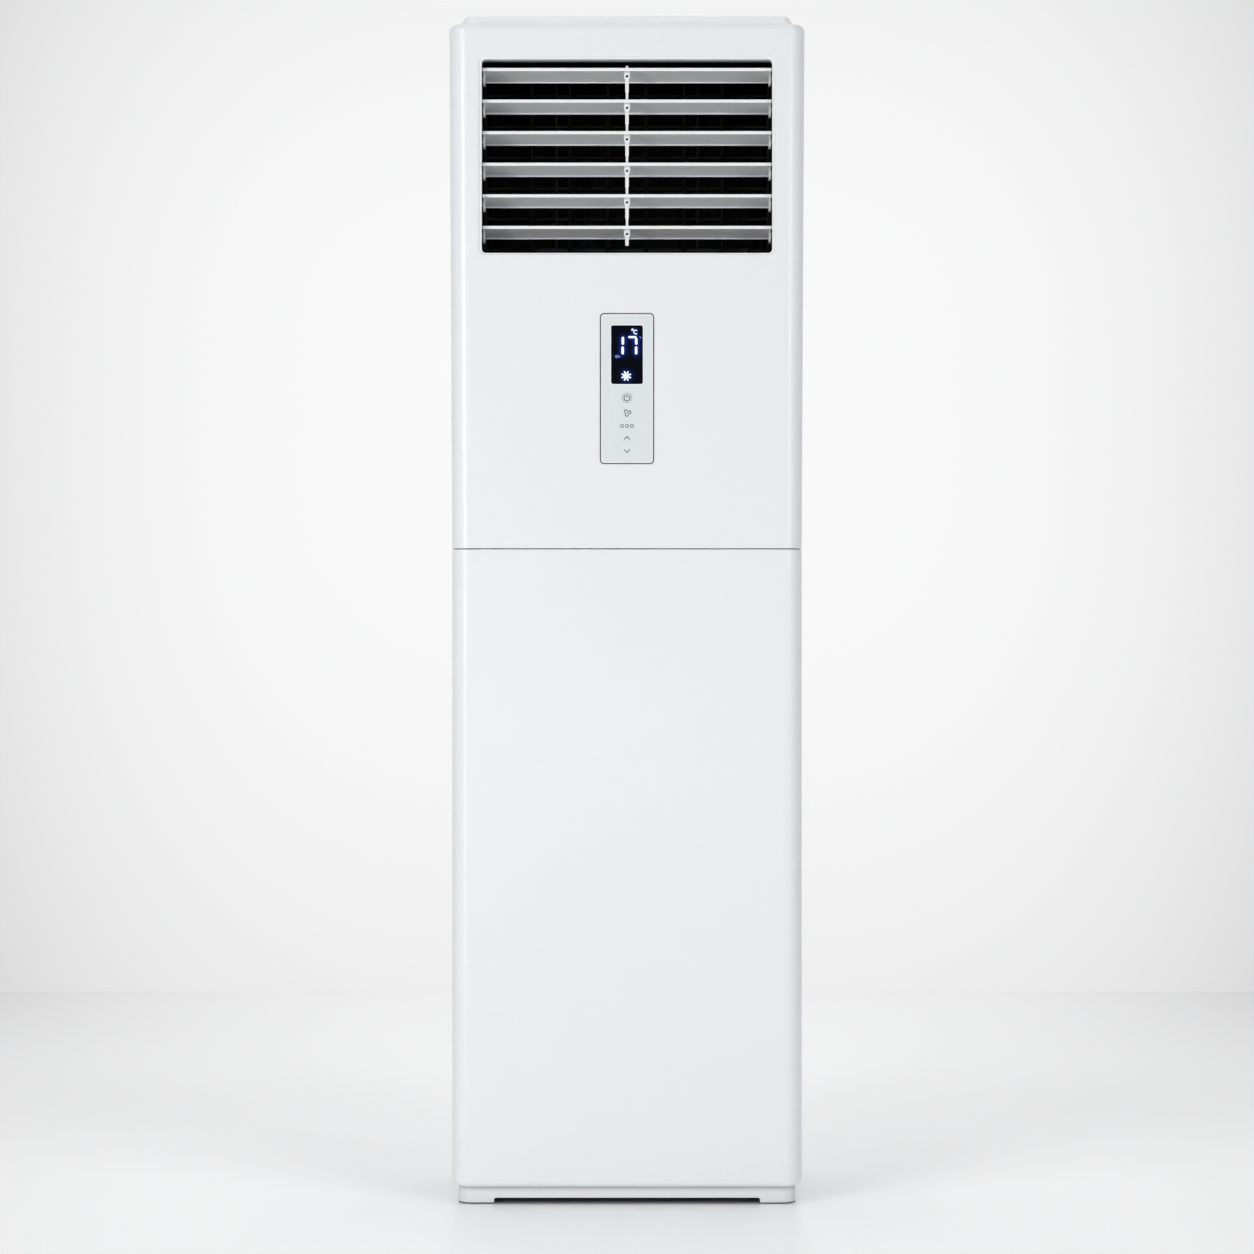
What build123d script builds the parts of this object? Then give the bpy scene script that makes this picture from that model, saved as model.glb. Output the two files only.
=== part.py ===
from build123d import *
import os
from math import cos, radians, sin

# A floor-standing cabinet air conditioner, each piece as its own solid, in millimetres.
# +Z is up, the floor is Z = 0, the front looks towards -Y and +X is to the viewer's right.
# The origin is the middle of the footprint on the floor.

os.makedirs("parts", exist_ok=True)

# ------------------------------------------------------------------ driving sizes: cabinet
overall_depth = 315.0  # front face of the panels to the screw heads on the back
cabinet_width = 490.0  # sheet cabinet and plinth, outside
sheet = 1.2  # folded sheet thickness
flange = 16.0  # turned-in edges of the folded sheets
bend_radius = 2.5  # outside radius of a folded edge
side_setback = 22.5  # front panel face to the sheet cabinet's front edge
side_top = 1700.0  # top edge of the sheet sides
base_height = 45.0
base_wall = 3.5
deck_thickness = 3.5
foot_height = 8.5
foot_size = 52.0
foot_fillet = 3.0
plinth_setback = 15.5  # front panel face to the plinth's face
plinth_corner = 20.0
rear_corner = 4.0
bead_width = 380.0
bead_height = 26.0
bead_depth = 4.0
bead_low = 250.0
bead_spacing = 180.0
bead_count = 3
cross_height = 28.0
cross_depth = 8.0

# ------------------------------------------------------------------ driving sizes: fronts and lid
panel_overhang = 9.0  # how far the front panels stand out past the sheet sides
panel_flare = 4.0  # how far each side of the upper panel leans out by its top
panel_rise = 9.0  # top of the front panels above the sheet sides
panel_foot = 25.0  # lower edge of the lower panel above the floor
panel_wall = 3.0
panel_corner = 27.0  # plan radius of the vertical front corners
panel_return = 95.0  # how far the panels wrap back along the sides
panel_top_radius = 9.0
panel_foot_radius = 13.0
return_lip = 3.0
seam_drop = 751.0  # top of the sheet sides down to the seam
seam_gap = 1.4
seam_bevel = 0.9
fit_gap = 0.2  # between a moulding and the piece that it is seated on
lid_rise = 15.0  # lid above the panel's top
lid_setback = 17.0  # front panel face to the lid's rim
lid_slope = 8.5  # how far the lid's rim leans in over its rise
lid_inset = 1.5  # lid's edge inside the sheet sides
lid_wall = 2.5
lid_corner = 18.0
lid_edge_radius = 4.0

# ------------------------------------------------------------------ driving sizes: outlet
opening_border = 44.0  # panel left on each side of the outlet
opening_height = 280.0
opening_drop = 183.0  # top of the sheet sides down to the outlet's centre
bevel_sideways = 5.5  # sloped border of the opening
bevel_upright = 3.0
bevel_depth = 4.0
opening_corner = 6.0
rim_wall = 3.5
rim_depth = 10.0  # rim of the opening, from the panel's face back
frame_step = 1.5  # the frame's inside stands this far outside the opening
frame_wall = 3.0
frame_depth = 50.0
louvre_count = 6
louvre_pitch = 45.8
louvre_top_drop = 20.0  # top of the opening to the first louvre's pins
louvre_pin_depth = 48.0  # pins behind the front face
louvre_reach = 34.0  # front edge ahead of the pins
louvre_tail = 26.0  # rear edge behind the pins
louvre_lift = 4.0  # edges of the blade above the pins
louvre_camber = 4.0
louvre_skin = 2.2
nose_height = 4.8
nose_depth = 3.2
nose_radius = 1.4
tail_height = 3.2
tail_depth = 1.8
louvre_tilt = 8.0  # front edge up at rest, in degrees
louvre_end_gap = 2.0  # blade end to frame
end_plate = 2.6
end_plate_drop = 11.5  # below the pins
end_plate_length = 17.0
end_plate_radius = 6.0
louvre_pin_radius = 2.5
louvre_boss_radius = 4.0
louvre_boss = 1.0
pin_clearance = 0.1
ear_reach = 22.0  # link pin ahead of the louvre's own pins
ear_drop = 4.4  # link pin below the louvre's own pins
ear_thickness = 1.5
ear_radius = 4.0
link_width = 3.6
link_depth = 4.4
link_gap = 0.35
link_pin_radius = 1.4
link_top_rise = 15.0
link_end_drop = 17.0
paddle_width = 5.0
paddle_depth = 7.0
paddle_above = 5.0
paddle_below = 24.0
paddle_slit = 1.2
paddle_slit_margin = 5.0
dimple_radius = 1.9
dimple_depth = 1.2
slot_length = 18.0  # window in the blade for the link
slot_side_gap = 0.7

# ------------------------------------------------------------------ driving sizes: duct and vanes
duct_wall = 2.5
duct_depth = 73.0
vane_count = 6
vane_border = 70.0  # side of the outlet to the outer vanes' pins
vane_setback = 105.5  # vane pins behind the front face
vane_half_depth = 24.0
vane_thickness = 2.0
vane_end_gap = 4.0
vane_pin_radius = 3.0
vane_arm = 18.0  # vane link's pins behind the vanes' own pins
vane_link_rise = 17.5  # link above the duct's floor
vane_link_thickness = 4.0
vane_link_depth = 6.0
vane_link_pin_radius = 1.5
notch_reach = 5.0  # notch ahead of the link's pins
notch_gap = 1.0
crank_border = 34.0  # side of the outlet to the swing motor's shaft
crank_thickness = 3.0
crank_radius = 5.0
crank_gap = 0.5
motor_can_radius = 14.0
motor_can_height = 19.0
swing_shaft_radius = 2.5
swing_bore_depth = 12.0
motor_ear_span = 35.0
motor_ear_radius = 3.5
motor_ear_thickness = 1.2
crank_hole_radius = 6.5
guard_depth = 5.0
guard_border = 6.0
guard_bar = 3.0
guard_post_spacing = 105.0
guard_post_count = 3

# ------------------------------------------------------------------ driving sizes: control face
control_width = 79.0
control_height = 219.0
control_drop = 336.5  # outlet's centre down to the touch face's
control_corner = 6.5
control_depth = 1.8
control_gap = 0.6
control_pad = 2.4  # extra wall behind the recess
control_sink = 0.3  # overlay face behind the panel face
display_width = 46.0
display_height = 85.0
display_top_margin = 18.0
display_corner = 3.0
display_gap = 0.15
board_thickness = 1.6
housing_depth = 14.0
housing_wall = 1.6
housing_margin = 4.0
housing_floor = 2.0

# ------------------------------------------------------------------ driving sizes: coil chamber
deck_drop = 127.0  # seam down to the mid deck
mid_deck_skirt = 26.0
liner_side = 16.0
liner_front = 11.0
liner_roof = 12.0
liner_drop = 36.0  # top of the sheet sides down to the foam
coil_tilt = 12.0
coil_headroom = 28.8  # coil's own length short of the foam roof
coil_side_gap = 25.6  # end of the coil to the foam side
coil_thickness = 36.0
coil_foot_y = -75.0
end_sheet = 1.5
end_sheet_margin = 5.0
bend_pitch = 25.4
bend_tube_radius = 4.0
bend_row_offset = 10.0
bend_start = 90.0
bend_count = 10
bend_end = 116.0  # last bends below the coil's head
pan_wall = 2.5
pan_height = 42.0
pan_front = -112.0
pan_back = -36.0
pan_overhang = 10.0  # pan beyond each end of the coil
drain_inset = 24.0  # end of the pan to the drain
drain_y = -98.0
drain_radius = 9.0
drain_spigot = 32.0
drain_hose_wall = 1.5
drain_end_height = 215.0
drain_end_y = -12.0
drain_bend = 40.0

# ------------------------------------------------------------------ driving sizes: blower
blower_x = -24.0
blower_drop = 262.0  # mid deck down to the wheel's axis
wheel_side = 95.0  # half the cabinet, less the wheel
wheel_front = -18.0
wheel_width = 128.0
blade_count = 32
blade_depth = 20.0
blade_skin = 1.8
blade_sweep = 5.0  # how far the blade tips lead their roots, in degrees
blade_bow = 3.0
ring_thickness = 3.0
ring_width = 7.5
ring_rim = 1.5  # ring and back plate standing outside the blade tips
hub_radius = 16.0
hub_length = 19.0
hub_lead = 4.0  # how far the hub stands ahead of the wheel's dished floor
dish_radius = 74.0
dish_depth = 62.0
shaft_radius = 6.0
shaft_clearance = 0.05
shaft_front_stub = 14.0
nut_across = 16.0
nut_thickness = 6.0
scroll_growth = 24.0
scroll_clear = 22.0  # spiral's least radius beyond the wheel
scroll_wall = 2.5
scroll_front_gap = 10.0
scroll_back_gap = 12.0
tongue_x = 20.0
tongue_radius = 12.0
collar_flange = 10.0
inlet_hole_step = 16.0  # inlet hole inside the blade tips
throat_step = 30.0  # inlet ring's throat inside the blade tips
inlet_flange = 15.0
inlet_wall = 2.5
inlet_gap = 2.0
motor_radius = 62.0
motor_length = 64.0
motor_bore_depth = 20.0
shaft_end_gap = 1.0
motor_flange_radius = 70.0
motor_flange = 2.5
motor_boss_radius = 36.0
motor_boss = 9.0
motor_hole_radius = 92.0
bracket_thickness = 2.5
bracket_ring = 12.0
bracket_arm = 22.0
bracket_arm_count = 3

# ------------------------------------------------------------------ driving sizes: intakes
intake_near = -45.0
intake_far = 105.0
intake_low = 110.0
intake_drop = 172.0  # mid deck down to the intakes' top
intake_gap = 0.4
intake_border = 8.0
intake_face = 2.0  # flange standing on the sheet
intake_flange = 5.0
intake_depth = 11.0
slat_pitch = 22.0
slat_thickness = 2.0
slat_chord = 13.5
slat_angle = 35.0
filter_depth = 5.0
filter_border = 7.0
filter_mesh = 1.0
filter_bar = 3.0
filter_bar_count = 4

# ------------------------------------------------------------------ driving sizes: pipes and fixings
gas_radius = 6.35
liquid_radius = 3.2
pipe_offset = 18.0  # pipes beyond the end of the coil
gas_y = -64.0
liquid_y = -92.0
header_radius = 6.5
header_low = 120.0
header_end_gap = 100.0  # header short of the coil's length
header_turn = 60.0  # where the gas pipe leaves the header's line
feeder_radius = 3.5
feeder_count = 6
feeder_spacing = 100.0
liquid_entry = 60.0
pipe_knee_rise = 28.0  # bend of both pipes above the mid deck
header_offset = 12.0
pipe_end_height = 235.0
pipe_end_y = 30.0
pipe_bend = 12.0
gas_end_run = 30.0  # ends of the pipes in from their drop
liquid_end_run = 60.0
nut_radius = 13.0
nut_length = 22.0
liquid_nut_radius = 9.0
exit_x = -120.0
exit_height = 120.0
exit_radius = 32.0
grommet_wall = 3.0
grommet_flange = 6.0
grommet_lip = 1.8
grommet_length = 12.0
strap_drop = 18.0  # top of the sheet sides down to the strap holes
strap_spacing = 200.0
strap_hole_radius = 2.5
screw_head_radius = 4.0
screw_head_height = 2.0
screw_radius = 1.9
screw_length = 7.0
screw_clearance = 0.2
screw_inset = 9.0
screw_low = 90.0
screw_drop = 42.0  # top of the sheet sides down to the last screws
screw_count = 5

# ------------------------------------------------------------------ driving sizes: electrics
box_width = 300.0
box_height = 134.0
box_depth = 44.0
box_wall = 2.0
box_cover = 2.0
standoff = 5.0
standoff_radius = 3.0
standoff_inset = 8.0
main_board_width = 190.0
main_board_height = 104.0
main_board_x = -45.0
terminal_x = 100.0
terminal_drop = 35.0
terminal_width = 62.0
terminal_height = 22.0
terminal_depth = 18.0
terminal_ways = 5
capacitor_radius = 16.0
capacitor_length = 60.0
capacitor_drop = 92.0
terminal_slot = 9.0
terminal_slot_depth = 8.0

# ------------------------------------------------------------------ places worked out from them
front = -overall_depth / 2
back = overall_depth / 2
back_face = back - screw_head_height  # outer face of the back sheet
half_cabinet = cabinet_width / 2
side_near = front + side_setback
side_far = back_face - sheet
plinth_face = front + plinth_setback
panel_width = cabinet_width + 2 * panel_overhang
panel_top = side_top + panel_rise
seam_height = side_top - seam_drop
lid_width = cabinet_width - 2 * lid_inset
lid_top = panel_top + lid_rise
return_back = front + panel_return
opening_width = panel_width - 2 * opening_border
opening_middle = side_top - opening_drop
opening_top = opening_middle + opening_height / 2
control_middle = opening_middle - control_drop
frame_half_width = opening_width / 2 + frame_step
frame_half_height = opening_height / 2 + frame_step
frame_near = front + rim_depth
frame_far = frame_near + frame_depth
louvre_y = front + louvre_pin_depth
louvre_half = frame_half_width - louvre_end_gap
duct_far = frame_far + duct_depth
duct_floor = opening_middle - frame_half_height
vane_link_height = duct_floor + vane_link_rise
vane_pitch = (opening_width - 2 * vane_border) / (vane_count - 1)
crank_x = opening_width / 2 - crank_border
guard_far = duct_far + guard_depth
vane_y = front + vane_setback
mid_deck_height = seam_height - deck_drop
deck_top = mid_deck_height + sheet
liner_near = side_near + sheet + cross_depth + fit_gap
liner_far = side_far - sheet - fit_gap
liner_half = half_cabinet - sheet - fit_gap
liner_top = side_top - liner_drop
coil_length = liner_top - liner_roof - deck_top - coil_headroom
coil_width = 2 * (liner_half - liner_side - coil_side_gap)
bend_spacing = (coil_length - bend_start - bend_end) / (bend_count - 1)
pan_width = coil_width + 2 * pan_overhang
drain_x = drain_inset - pan_width / 2
pipe_x = -coil_width / 2 - pipe_offset
pipe_knee = mid_deck_height + pipe_knee_rise
header_high = coil_length - header_end_gap
gas_end_x = pipe_x + gas_end_run
liquid_end_x = pipe_x + liquid_end_run
blower_height = mid_deck_height - blower_drop
wheel_radius = half_cabinet - wheel_side
scroll_radius = wheel_radius + scroll_clear
inlet_hole_radius = wheel_radius - inlet_hole_step
inlet_throat = wheel_radius - throat_step
intake_high = mid_deck_height - intake_drop
strap_height = side_top - strap_drop
screw_spacing = (side_top - screw_drop - screw_low) / (screw_count - 1)
housing_near = wheel_front - scroll_front_gap
housing_far = wheel_front + wheel_width + scroll_back_gap
big = 3000.0  # longer than the whole cabinet, for cuts that run right through


def facing(depth_y):
    """Plane at this depth that looks to the front: its x is X and its y is Z."""
    return Plane.XZ.offset(-depth_y)


def plan_outline(level, width, near, far, near_corner=0.0, far_corner=0.0):
    """Rectangle seen from above with its own front and rear corner radii."""
    with BuildSketch(Plane.XY.offset(level), mode=Mode.PRIVATE) as outline:
        with Locations((0, (near + far) / 2)):
            Rectangle(width, far - near)
        if near_corner:
            fillet(outline.vertices().group_by(Axis.Y)[0], near_corner)
        if far_corner:
            fillet(outline.vertices().group_by(Axis.Y)[-1], far_corner)
    return outline.sketch


def front_outline(depth_y, width, height, middle, corner):
    """Rounded rectangle seen from the front, centred across the cabinet."""
    with BuildSketch(facing(depth_y), mode=Mode.PRIVATE) as outline:
        with Locations((0, middle)):
            RectangleRounded(width, height, corner)
    return outline.sketch


# ================================================================== base
with BuildPart() as base_plinth:
    extrude(
        plan_outline(0, cabinet_width, plinth_face, back_face, plinth_corner, rear_corner),
        amount=base_height,
    )
    with BuildSketch(facing(0)):  # gap between the feet, seen from the front
        with Locations((0, 0)):
            Rectangle(cabinet_width - 2 * foot_size, 2 * foot_height)
    extrude(amount=big, both=True, mode=Mode.SUBTRACT)
    gap_corners = (
        base_plinth.edges()
        .filter_by(Axis.Y)
        .filter_by_position(Axis.Z, foot_height / 2, foot_height + fit_gap)
    )
    fillet(gap_corners, foot_fillet)
    with BuildSketch(Plane.YZ):  # and seen from the side
        with Locations(((plinth_face + back_face) / 2, 0)):
            Rectangle(back_face - plinth_face - 2 * foot_size, 2 * foot_height)
    extrude(amount=big, both=True, mode=Mode.SUBTRACT)
    extrude(
        plan_outline(
            foot_height + deck_thickness,
            cabinet_width - 2 * base_wall,
            plinth_face + base_wall,
            back_face - base_wall,
            plinth_corner - base_wall,
        ),
        amount=base_height,
        mode=Mode.SUBTRACT,
    )
base_plinth.part.label = "base_plinth"
export_step(base_plinth.part, "parts/base_plinth.step")

# ================================================================== sheet cabinet
screw_heights = [screw_low + row * screw_spacing for row in range(screw_count)]
screw_spots = [(side * (half_cabinet - screw_inset), z) for side in (-1, 1) for z in screw_heights]
intake_middle_y = (intake_near + intake_far) / 2
intake_middle_z = (intake_low + intake_high) / 2
intake_length = intake_far - intake_near
intake_height = intake_high - intake_low

for side, name in ((-1, "left_side_panel"), (1, "right_side_panel")):
    outer_edge = 0 if side < 0 else -1
    with BuildPart() as side_panel:
        with BuildSketch(Plane.XY.offset(base_height)) as section:
            with Locations((side * (half_cabinet - flange / 2), (side_near + side_far) / 2)):
                Rectangle(flange, side_far - side_near)
            fillet(section.vertices().group_by(Axis.X)[outer_edge], bend_radius)
            with Locations(
                (side * (half_cabinet - sheet - flange / 2), (side_near + side_far) / 2)
            ):
                Rectangle(flange, side_far - side_near - 2 * sheet, mode=Mode.SUBTRACT)
        extrude(amount=side_top - base_height)
        with BuildSketch(Plane.YZ.offset(side * half_cabinet)):
            with Locations((intake_middle_y, intake_middle_z)):
                Rectangle(intake_length, intake_height)
        extrude(amount=2 * sheet, both=True, mode=Mode.SUBTRACT)
        with BuildSketch(facing(side_far)):
            with Locations(screw_spots):
                Circle(screw_radius + screw_clearance)
        extrude(amount=2 * sheet, mode=Mode.SUBTRACT)
    side_panel.part.label = name
    export_step(side_panel.part, f"parts/{name}.step")

with BuildPart() as back_panel:
    with BuildSketch(facing(back_face)):
        with Locations((0, (base_height + side_top) / 2)):
            Rectangle(cabinet_width - 2 * fit_gap, side_top - base_height - 2 * fit_gap)
    extrude(amount=sheet)
    bead_spots = [(0, bead_low + row * bead_spacing) for row in range(bead_count)]
    with BuildSketch(facing(back_face)):
        with Locations(bead_spots):
            SlotOverall(bead_width, bead_height)
    extrude(amount=sheet + bead_depth)
    with BuildSketch(facing(back_face)):
        with Locations(bead_spots):
            SlotOverall(bead_width - 2 * sheet, bead_height - 2 * sheet)
    extrude(amount=bead_depth, mode=Mode.SUBTRACT)
    with BuildSketch(facing(back_face)):
        with Locations((exit_x, exit_height)):
            Circle(exit_radius + grommet_wall + screw_clearance)
        with Locations((0, strap_height)):
            with GridLocations(strap_spacing, 1, 2, 1):
                Circle(strap_hole_radius)
        with Locations(screw_spots):
            Circle(screw_radius + screw_clearance)
    extrude(amount=sheet, mode=Mode.SUBTRACT)
back_panel.part.label = "back_panel"
export_step(back_panel.part, "parts/back_panel.step")

with BuildPart() as case_screws:
    with BuildSketch(facing(back_face)):
        with Locations(screw_spots):
            Circle(screw_head_radius)
    extrude(amount=-screw_head_height)
    with BuildSketch(facing(back_face)):
        with Locations(screw_spots):
            Circle(screw_radius)
    extrude(amount=screw_length)
case_screws.part.label = "case_screws"
export_step(case_screws.part, "parts/case_screws.step")

with BuildPart() as cross_member:
    with BuildSketch(Plane.YZ):
        with Locations((side_near + sheet + cross_depth / 2, seam_height)):
            Rectangle(cross_depth, cross_height)
        with Locations((side_near + 2 * sheet + cross_depth / 2, seam_height)):
            Rectangle(cross_depth, cross_height - 2 * sheet, mode=Mode.SUBTRACT)
    extrude(amount=liner_half, both=True)
cross_member.part.label = "cross_member"
export_step(cross_member.part, "parts/cross_member.step")

# ================================================================== lid
with BuildPart() as top_cover:
    loft(
        [
            plan_outline(
                panel_top, lid_width, front + lid_setback, back_face, lid_corner, rear_corner
            ),
            plan_outline(
                lid_top,
                lid_width - 2 * lid_slope,
                front + lid_setback + lid_slope,
                back_face - lid_slope / 2,
                lid_corner - lid_slope / 2,
                rear_corner,
            ),
        ]
    )
    fillet(top_cover.faces().sort_by(Axis.Z)[-1].edges(), lid_edge_radius)
    extrude(
        plan_outline(
            side_top, cabinet_width, return_back + fit_gap, back_face, bend_radius, rear_corner
        ),
        amount=panel_top - side_top,
    )
    loft(
        [
            plan_outline(
                panel_top,
                lid_width - 2 * lid_wall,
                front + lid_setback + lid_wall,
                back_face - lid_wall,
                lid_corner - lid_wall,
                rear_corner,
            ),
            plan_outline(
                lid_top - lid_wall,
                lid_width - 2 * lid_slope - 2 * lid_wall,
                front + lid_setback + lid_slope + lid_wall,
                back_face - lid_slope / 2 - lid_wall,
                lid_corner - lid_slope / 2 - lid_wall,
                rear_corner,
            ),
        ],
        mode=Mode.SUBTRACT,
    )
    extrude(
        plan_outline(
            side_top,
            cabinet_width - 2 * lid_wall,
            return_back + fit_gap + lid_wall,
            back_face - lid_wall,
            bend_radius,
            rear_corner,
        ),
        amount=panel_top - side_top,
        mode=Mode.SUBTRACT,
    )
top_cover.part.label = "top_cover"
export_step(top_cover.part, "parts/top_cover.step")

# ================================================================== front panels
upper_foot = seam_height + seam_gap / 2
lower_head = seam_height - seam_gap / 2
flare_width = panel_width + 2 * panel_flare
pad_margin = 2 * control_pad


def bevelled_outline(level, grown=0.0):
    """Panel outline at the seam, drawn in by the bevel and grown back by this much."""
    inset = seam_bevel - grown
    return plan_outline(
        level, panel_width - 2 * inset, front + inset, return_back, panel_corner - inset
    )


with BuildPart() as upper_front_panel:
    loft(
        [
            plan_outline(upper_foot + seam_bevel, panel_width, front, return_back, panel_corner),
            plan_outline(panel_top, flare_width, front, return_back, panel_corner),
        ]
    )
    roof = upper_front_panel.faces().sort_by(Axis.Z)[-1]
    fillet(roof.edges().sort_by(Axis.Y)[:-1], panel_top_radius)
    loft([bevelled_outline(upper_foot), bevelled_outline(upper_foot + seam_bevel, seam_bevel)])
    loft(
        [
            plan_outline(
                upper_foot,
                panel_width - 2 * panel_wall,
                front + panel_wall,
                return_back - return_lip,
                panel_corner - panel_wall,
            ),
            plan_outline(
                panel_top - panel_wall,
                flare_width - 2 * panel_wall,
                front + panel_wall,
                return_back - return_lip,
                panel_corner - panel_wall,
            ),
        ],
        mode=Mode.SUBTRACT,
    )
    extrude(  # the return lips close on the sheet sides
        plan_outline(
            upper_foot, cabinet_width + 2 * fit_gap, front + panel_corner, return_back
        ),
        amount=panel_top - panel_wall - upper_foot,
        mode=Mode.SUBTRACT,
    )
    extrude(  # rim round the outlet
        front_outline(
            frame_near,
            opening_width + 2 * rim_wall,
            opening_height + 2 * rim_wall,
            opening_middle,
            opening_corner + rim_wall,
        ),
        amount=rim_depth - panel_wall / 2,
    )
    extrude(
        front_outline(
            frame_near, opening_width, opening_height, opening_middle, opening_corner
        ),
        amount=rim_depth,
        mode=Mode.SUBTRACT,
    )
    loft(  # sloped border of the outlet
        [
            front_outline(
                front,
                opening_width + 2 * bevel_sideways,
                opening_height + 2 * bevel_upright,
                opening_middle,
                opening_corner + bevel_upright,
            ),
            front_outline(
                front + bevel_depth, opening_width, opening_height, opening_middle, opening_corner
            ),
        ],
        mode=Mode.SUBTRACT,
    )
    extrude(  # pad behind the control recess
        front_outline(
            front + panel_wall + control_pad,
            control_width + pad_margin,
            control_height + pad_margin,
            control_middle,
            control_corner + control_pad,
        ),
        amount=control_pad + panel_wall / 2,
    )
    extrude(
        front_outline(
            front, control_width, control_height, control_middle, control_corner
        ),
        amount=-control_depth - control_sink,
        mode=Mode.SUBTRACT,
    )
    display_middle = control_middle + control_height / 2 - display_top_margin - display_height / 2
    extrude(
        front_outline(
            front,
            display_width - 2 * display_corner,
            display_height - 2 * display_corner,
            display_middle,
            display_corner,
        ),
        amount=-panel_wall - 2 * control_pad,
        mode=Mode.SUBTRACT,
    )
upper_front_panel.part.label = "upper_front_panel"
export_step(upper_front_panel.part, "parts/upper_front_panel.step")

with BuildPart() as lower_front_panel:
    extrude(
        plan_outline(panel_foot, panel_width, front, return_back, panel_corner),
        amount=lower_head - seam_bevel - panel_foot,
    )
    brim = lower_front_panel.faces().sort_by(Axis.Z)[0]
    fillet(brim.edges().sort_by(Axis.Y)[:-1], panel_foot_radius)
    loft([bevelled_outline(lower_head - seam_bevel, seam_bevel), bevelled_outline(lower_head)])
    extrude(
        plan_outline(
            panel_foot + panel_wall,
            panel_width - 2 * panel_wall,
            front + panel_wall,
            return_back - return_lip,
            panel_corner - panel_wall,
        ),
        amount=lower_head - panel_foot,
        mode=Mode.SUBTRACT,
    )
    extrude(  # the panel drops over the plinth and closes on the sheet sides
        plan_outline(
            panel_foot,
            cabinet_width + 2 * fit_gap,
            plinth_face - fit_gap,
            return_back,
            plinth_corner,
        ),
        amount=lower_head - panel_foot,
        mode=Mode.SUBTRACT,
    )
lower_front_panel.part.label = "lower_front_panel"
export_step(lower_front_panel.part, "parts/lower_front_panel.step")

# ================================================================== control face
with BuildPart() as control_overlay:
    extrude(
        front_outline(
            front + control_sink,
            control_width - 2 * control_gap,
            control_height - 2 * control_gap,
            control_middle,
            control_corner - control_gap,
        ),
        amount=-control_depth,
    )
    extrude(
        front_outline(front, display_width, display_height, display_middle, display_corner),
        amount=-2 * control_depth,
        mode=Mode.SUBTRACT,
    )
control_overlay.part.label = "control_overlay"
export_step(control_overlay.part, "parts/control_overlay.step")

with BuildPart() as display_window:
    extrude(
        front_outline(
            front + control_sink,
            display_width - 2 * display_gap,
            display_height - 2 * display_gap,
            display_middle,
            display_corner - display_gap,
        ),
        amount=-control_depth,
    )
display_window.part.label = "display_window"
export_step(display_window.part, "parts/display_window.step")

pad_back = front + panel_wall + control_pad
with BuildPart() as display_housing:
    extrude(
        front_outline(
            pad_back + housing_depth,
            control_width - housing_margin,
            control_height - housing_margin,
            control_middle,
            control_corner,
        ),
        amount=housing_depth,
    )
    extrude(
        front_outline(
            pad_back + housing_depth - housing_floor,
            control_width - housing_margin - 2 * housing_wall,
            control_height - housing_margin - 2 * housing_wall,
            control_middle,
            control_corner - housing_wall,
        ),
        amount=housing_depth,
        mode=Mode.SUBTRACT,
    )
display_housing.part.label = "display_housing"
export_step(display_housing.part, "parts/display_housing.step")

with BuildPart() as display_board:
    extrude(
        front_outline(
            pad_back + housing_depth - housing_floor,
            control_width - housing_margin - 2 * housing_wall - 2 * fit_gap,
            control_height - housing_margin - 2 * housing_wall - 2 * fit_gap,
            control_middle,
            control_corner - housing_wall,
        ),
        amount=board_thickness,
    )
    extrude(  # light guide block behind the window
        front_outline(
            pad_back + housing_depth - housing_floor,
            display_width - 2 * display_corner,
            display_height - 2 * display_corner,
            display_middle,
            display_corner,
        ),
        amount=housing_depth - housing_floor,
    )
display_board.part.label = "display_board"
export_step(display_board.part, "parts/display_board.step")

# ================================================================== louvres
louvre_heights = [opening_top - louvre_top_drop - n * louvre_pitch for n in range(louvre_count)]
tilt = radians(louvre_tilt)
blade_middle = (louvre_tail - louvre_reach) / 2
ear_x = paddle_width / 2 + link_gap + ear_thickness / 2

with BuildPart() as louvre_frame:
    extrude(
        front_outline(
            frame_far,
            2 * (frame_half_width + frame_wall),
            2 * (frame_half_height + frame_wall),
            opening_middle,
            opening_corner + frame_wall,
        ),
        amount=frame_depth,
    )
    extrude(
        front_outline(
            frame_far,
            2 * frame_half_width,
            2 * frame_half_height,
            opening_middle,
            opening_corner,
        ),
        amount=frame_depth,
        mode=Mode.SUBTRACT,
    )
    with BuildSketch(Plane.YZ):
        with Locations([(louvre_y, z) for z in louvre_heights]):
            Circle(louvre_pin_radius + pin_clearance)
    extrude(amount=big, both=True, mode=Mode.SUBTRACT)
louvre_frame.part.label = "louvre_frame"
export_step(louvre_frame.part, "parts/louvre_frame.step")


def crown_height(along):
    """Height of the blade's upper face over its pins, this far back along the blade."""
    share = (along - blade_middle) / (louvre_tail - blade_middle)
    return louvre_lift + louvre_camber * (1 - share * share)


pin_end = frame_half_width + frame_wall - fit_gap
ear_top = crown_height(-ear_reach - ear_radius) - fit_gap
slot_low = louvre_lift - louvre_skin
slot_high = louvre_lift + louvre_camber + fit_gap
plate_top = louvre_lift + louvre_skin

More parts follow.
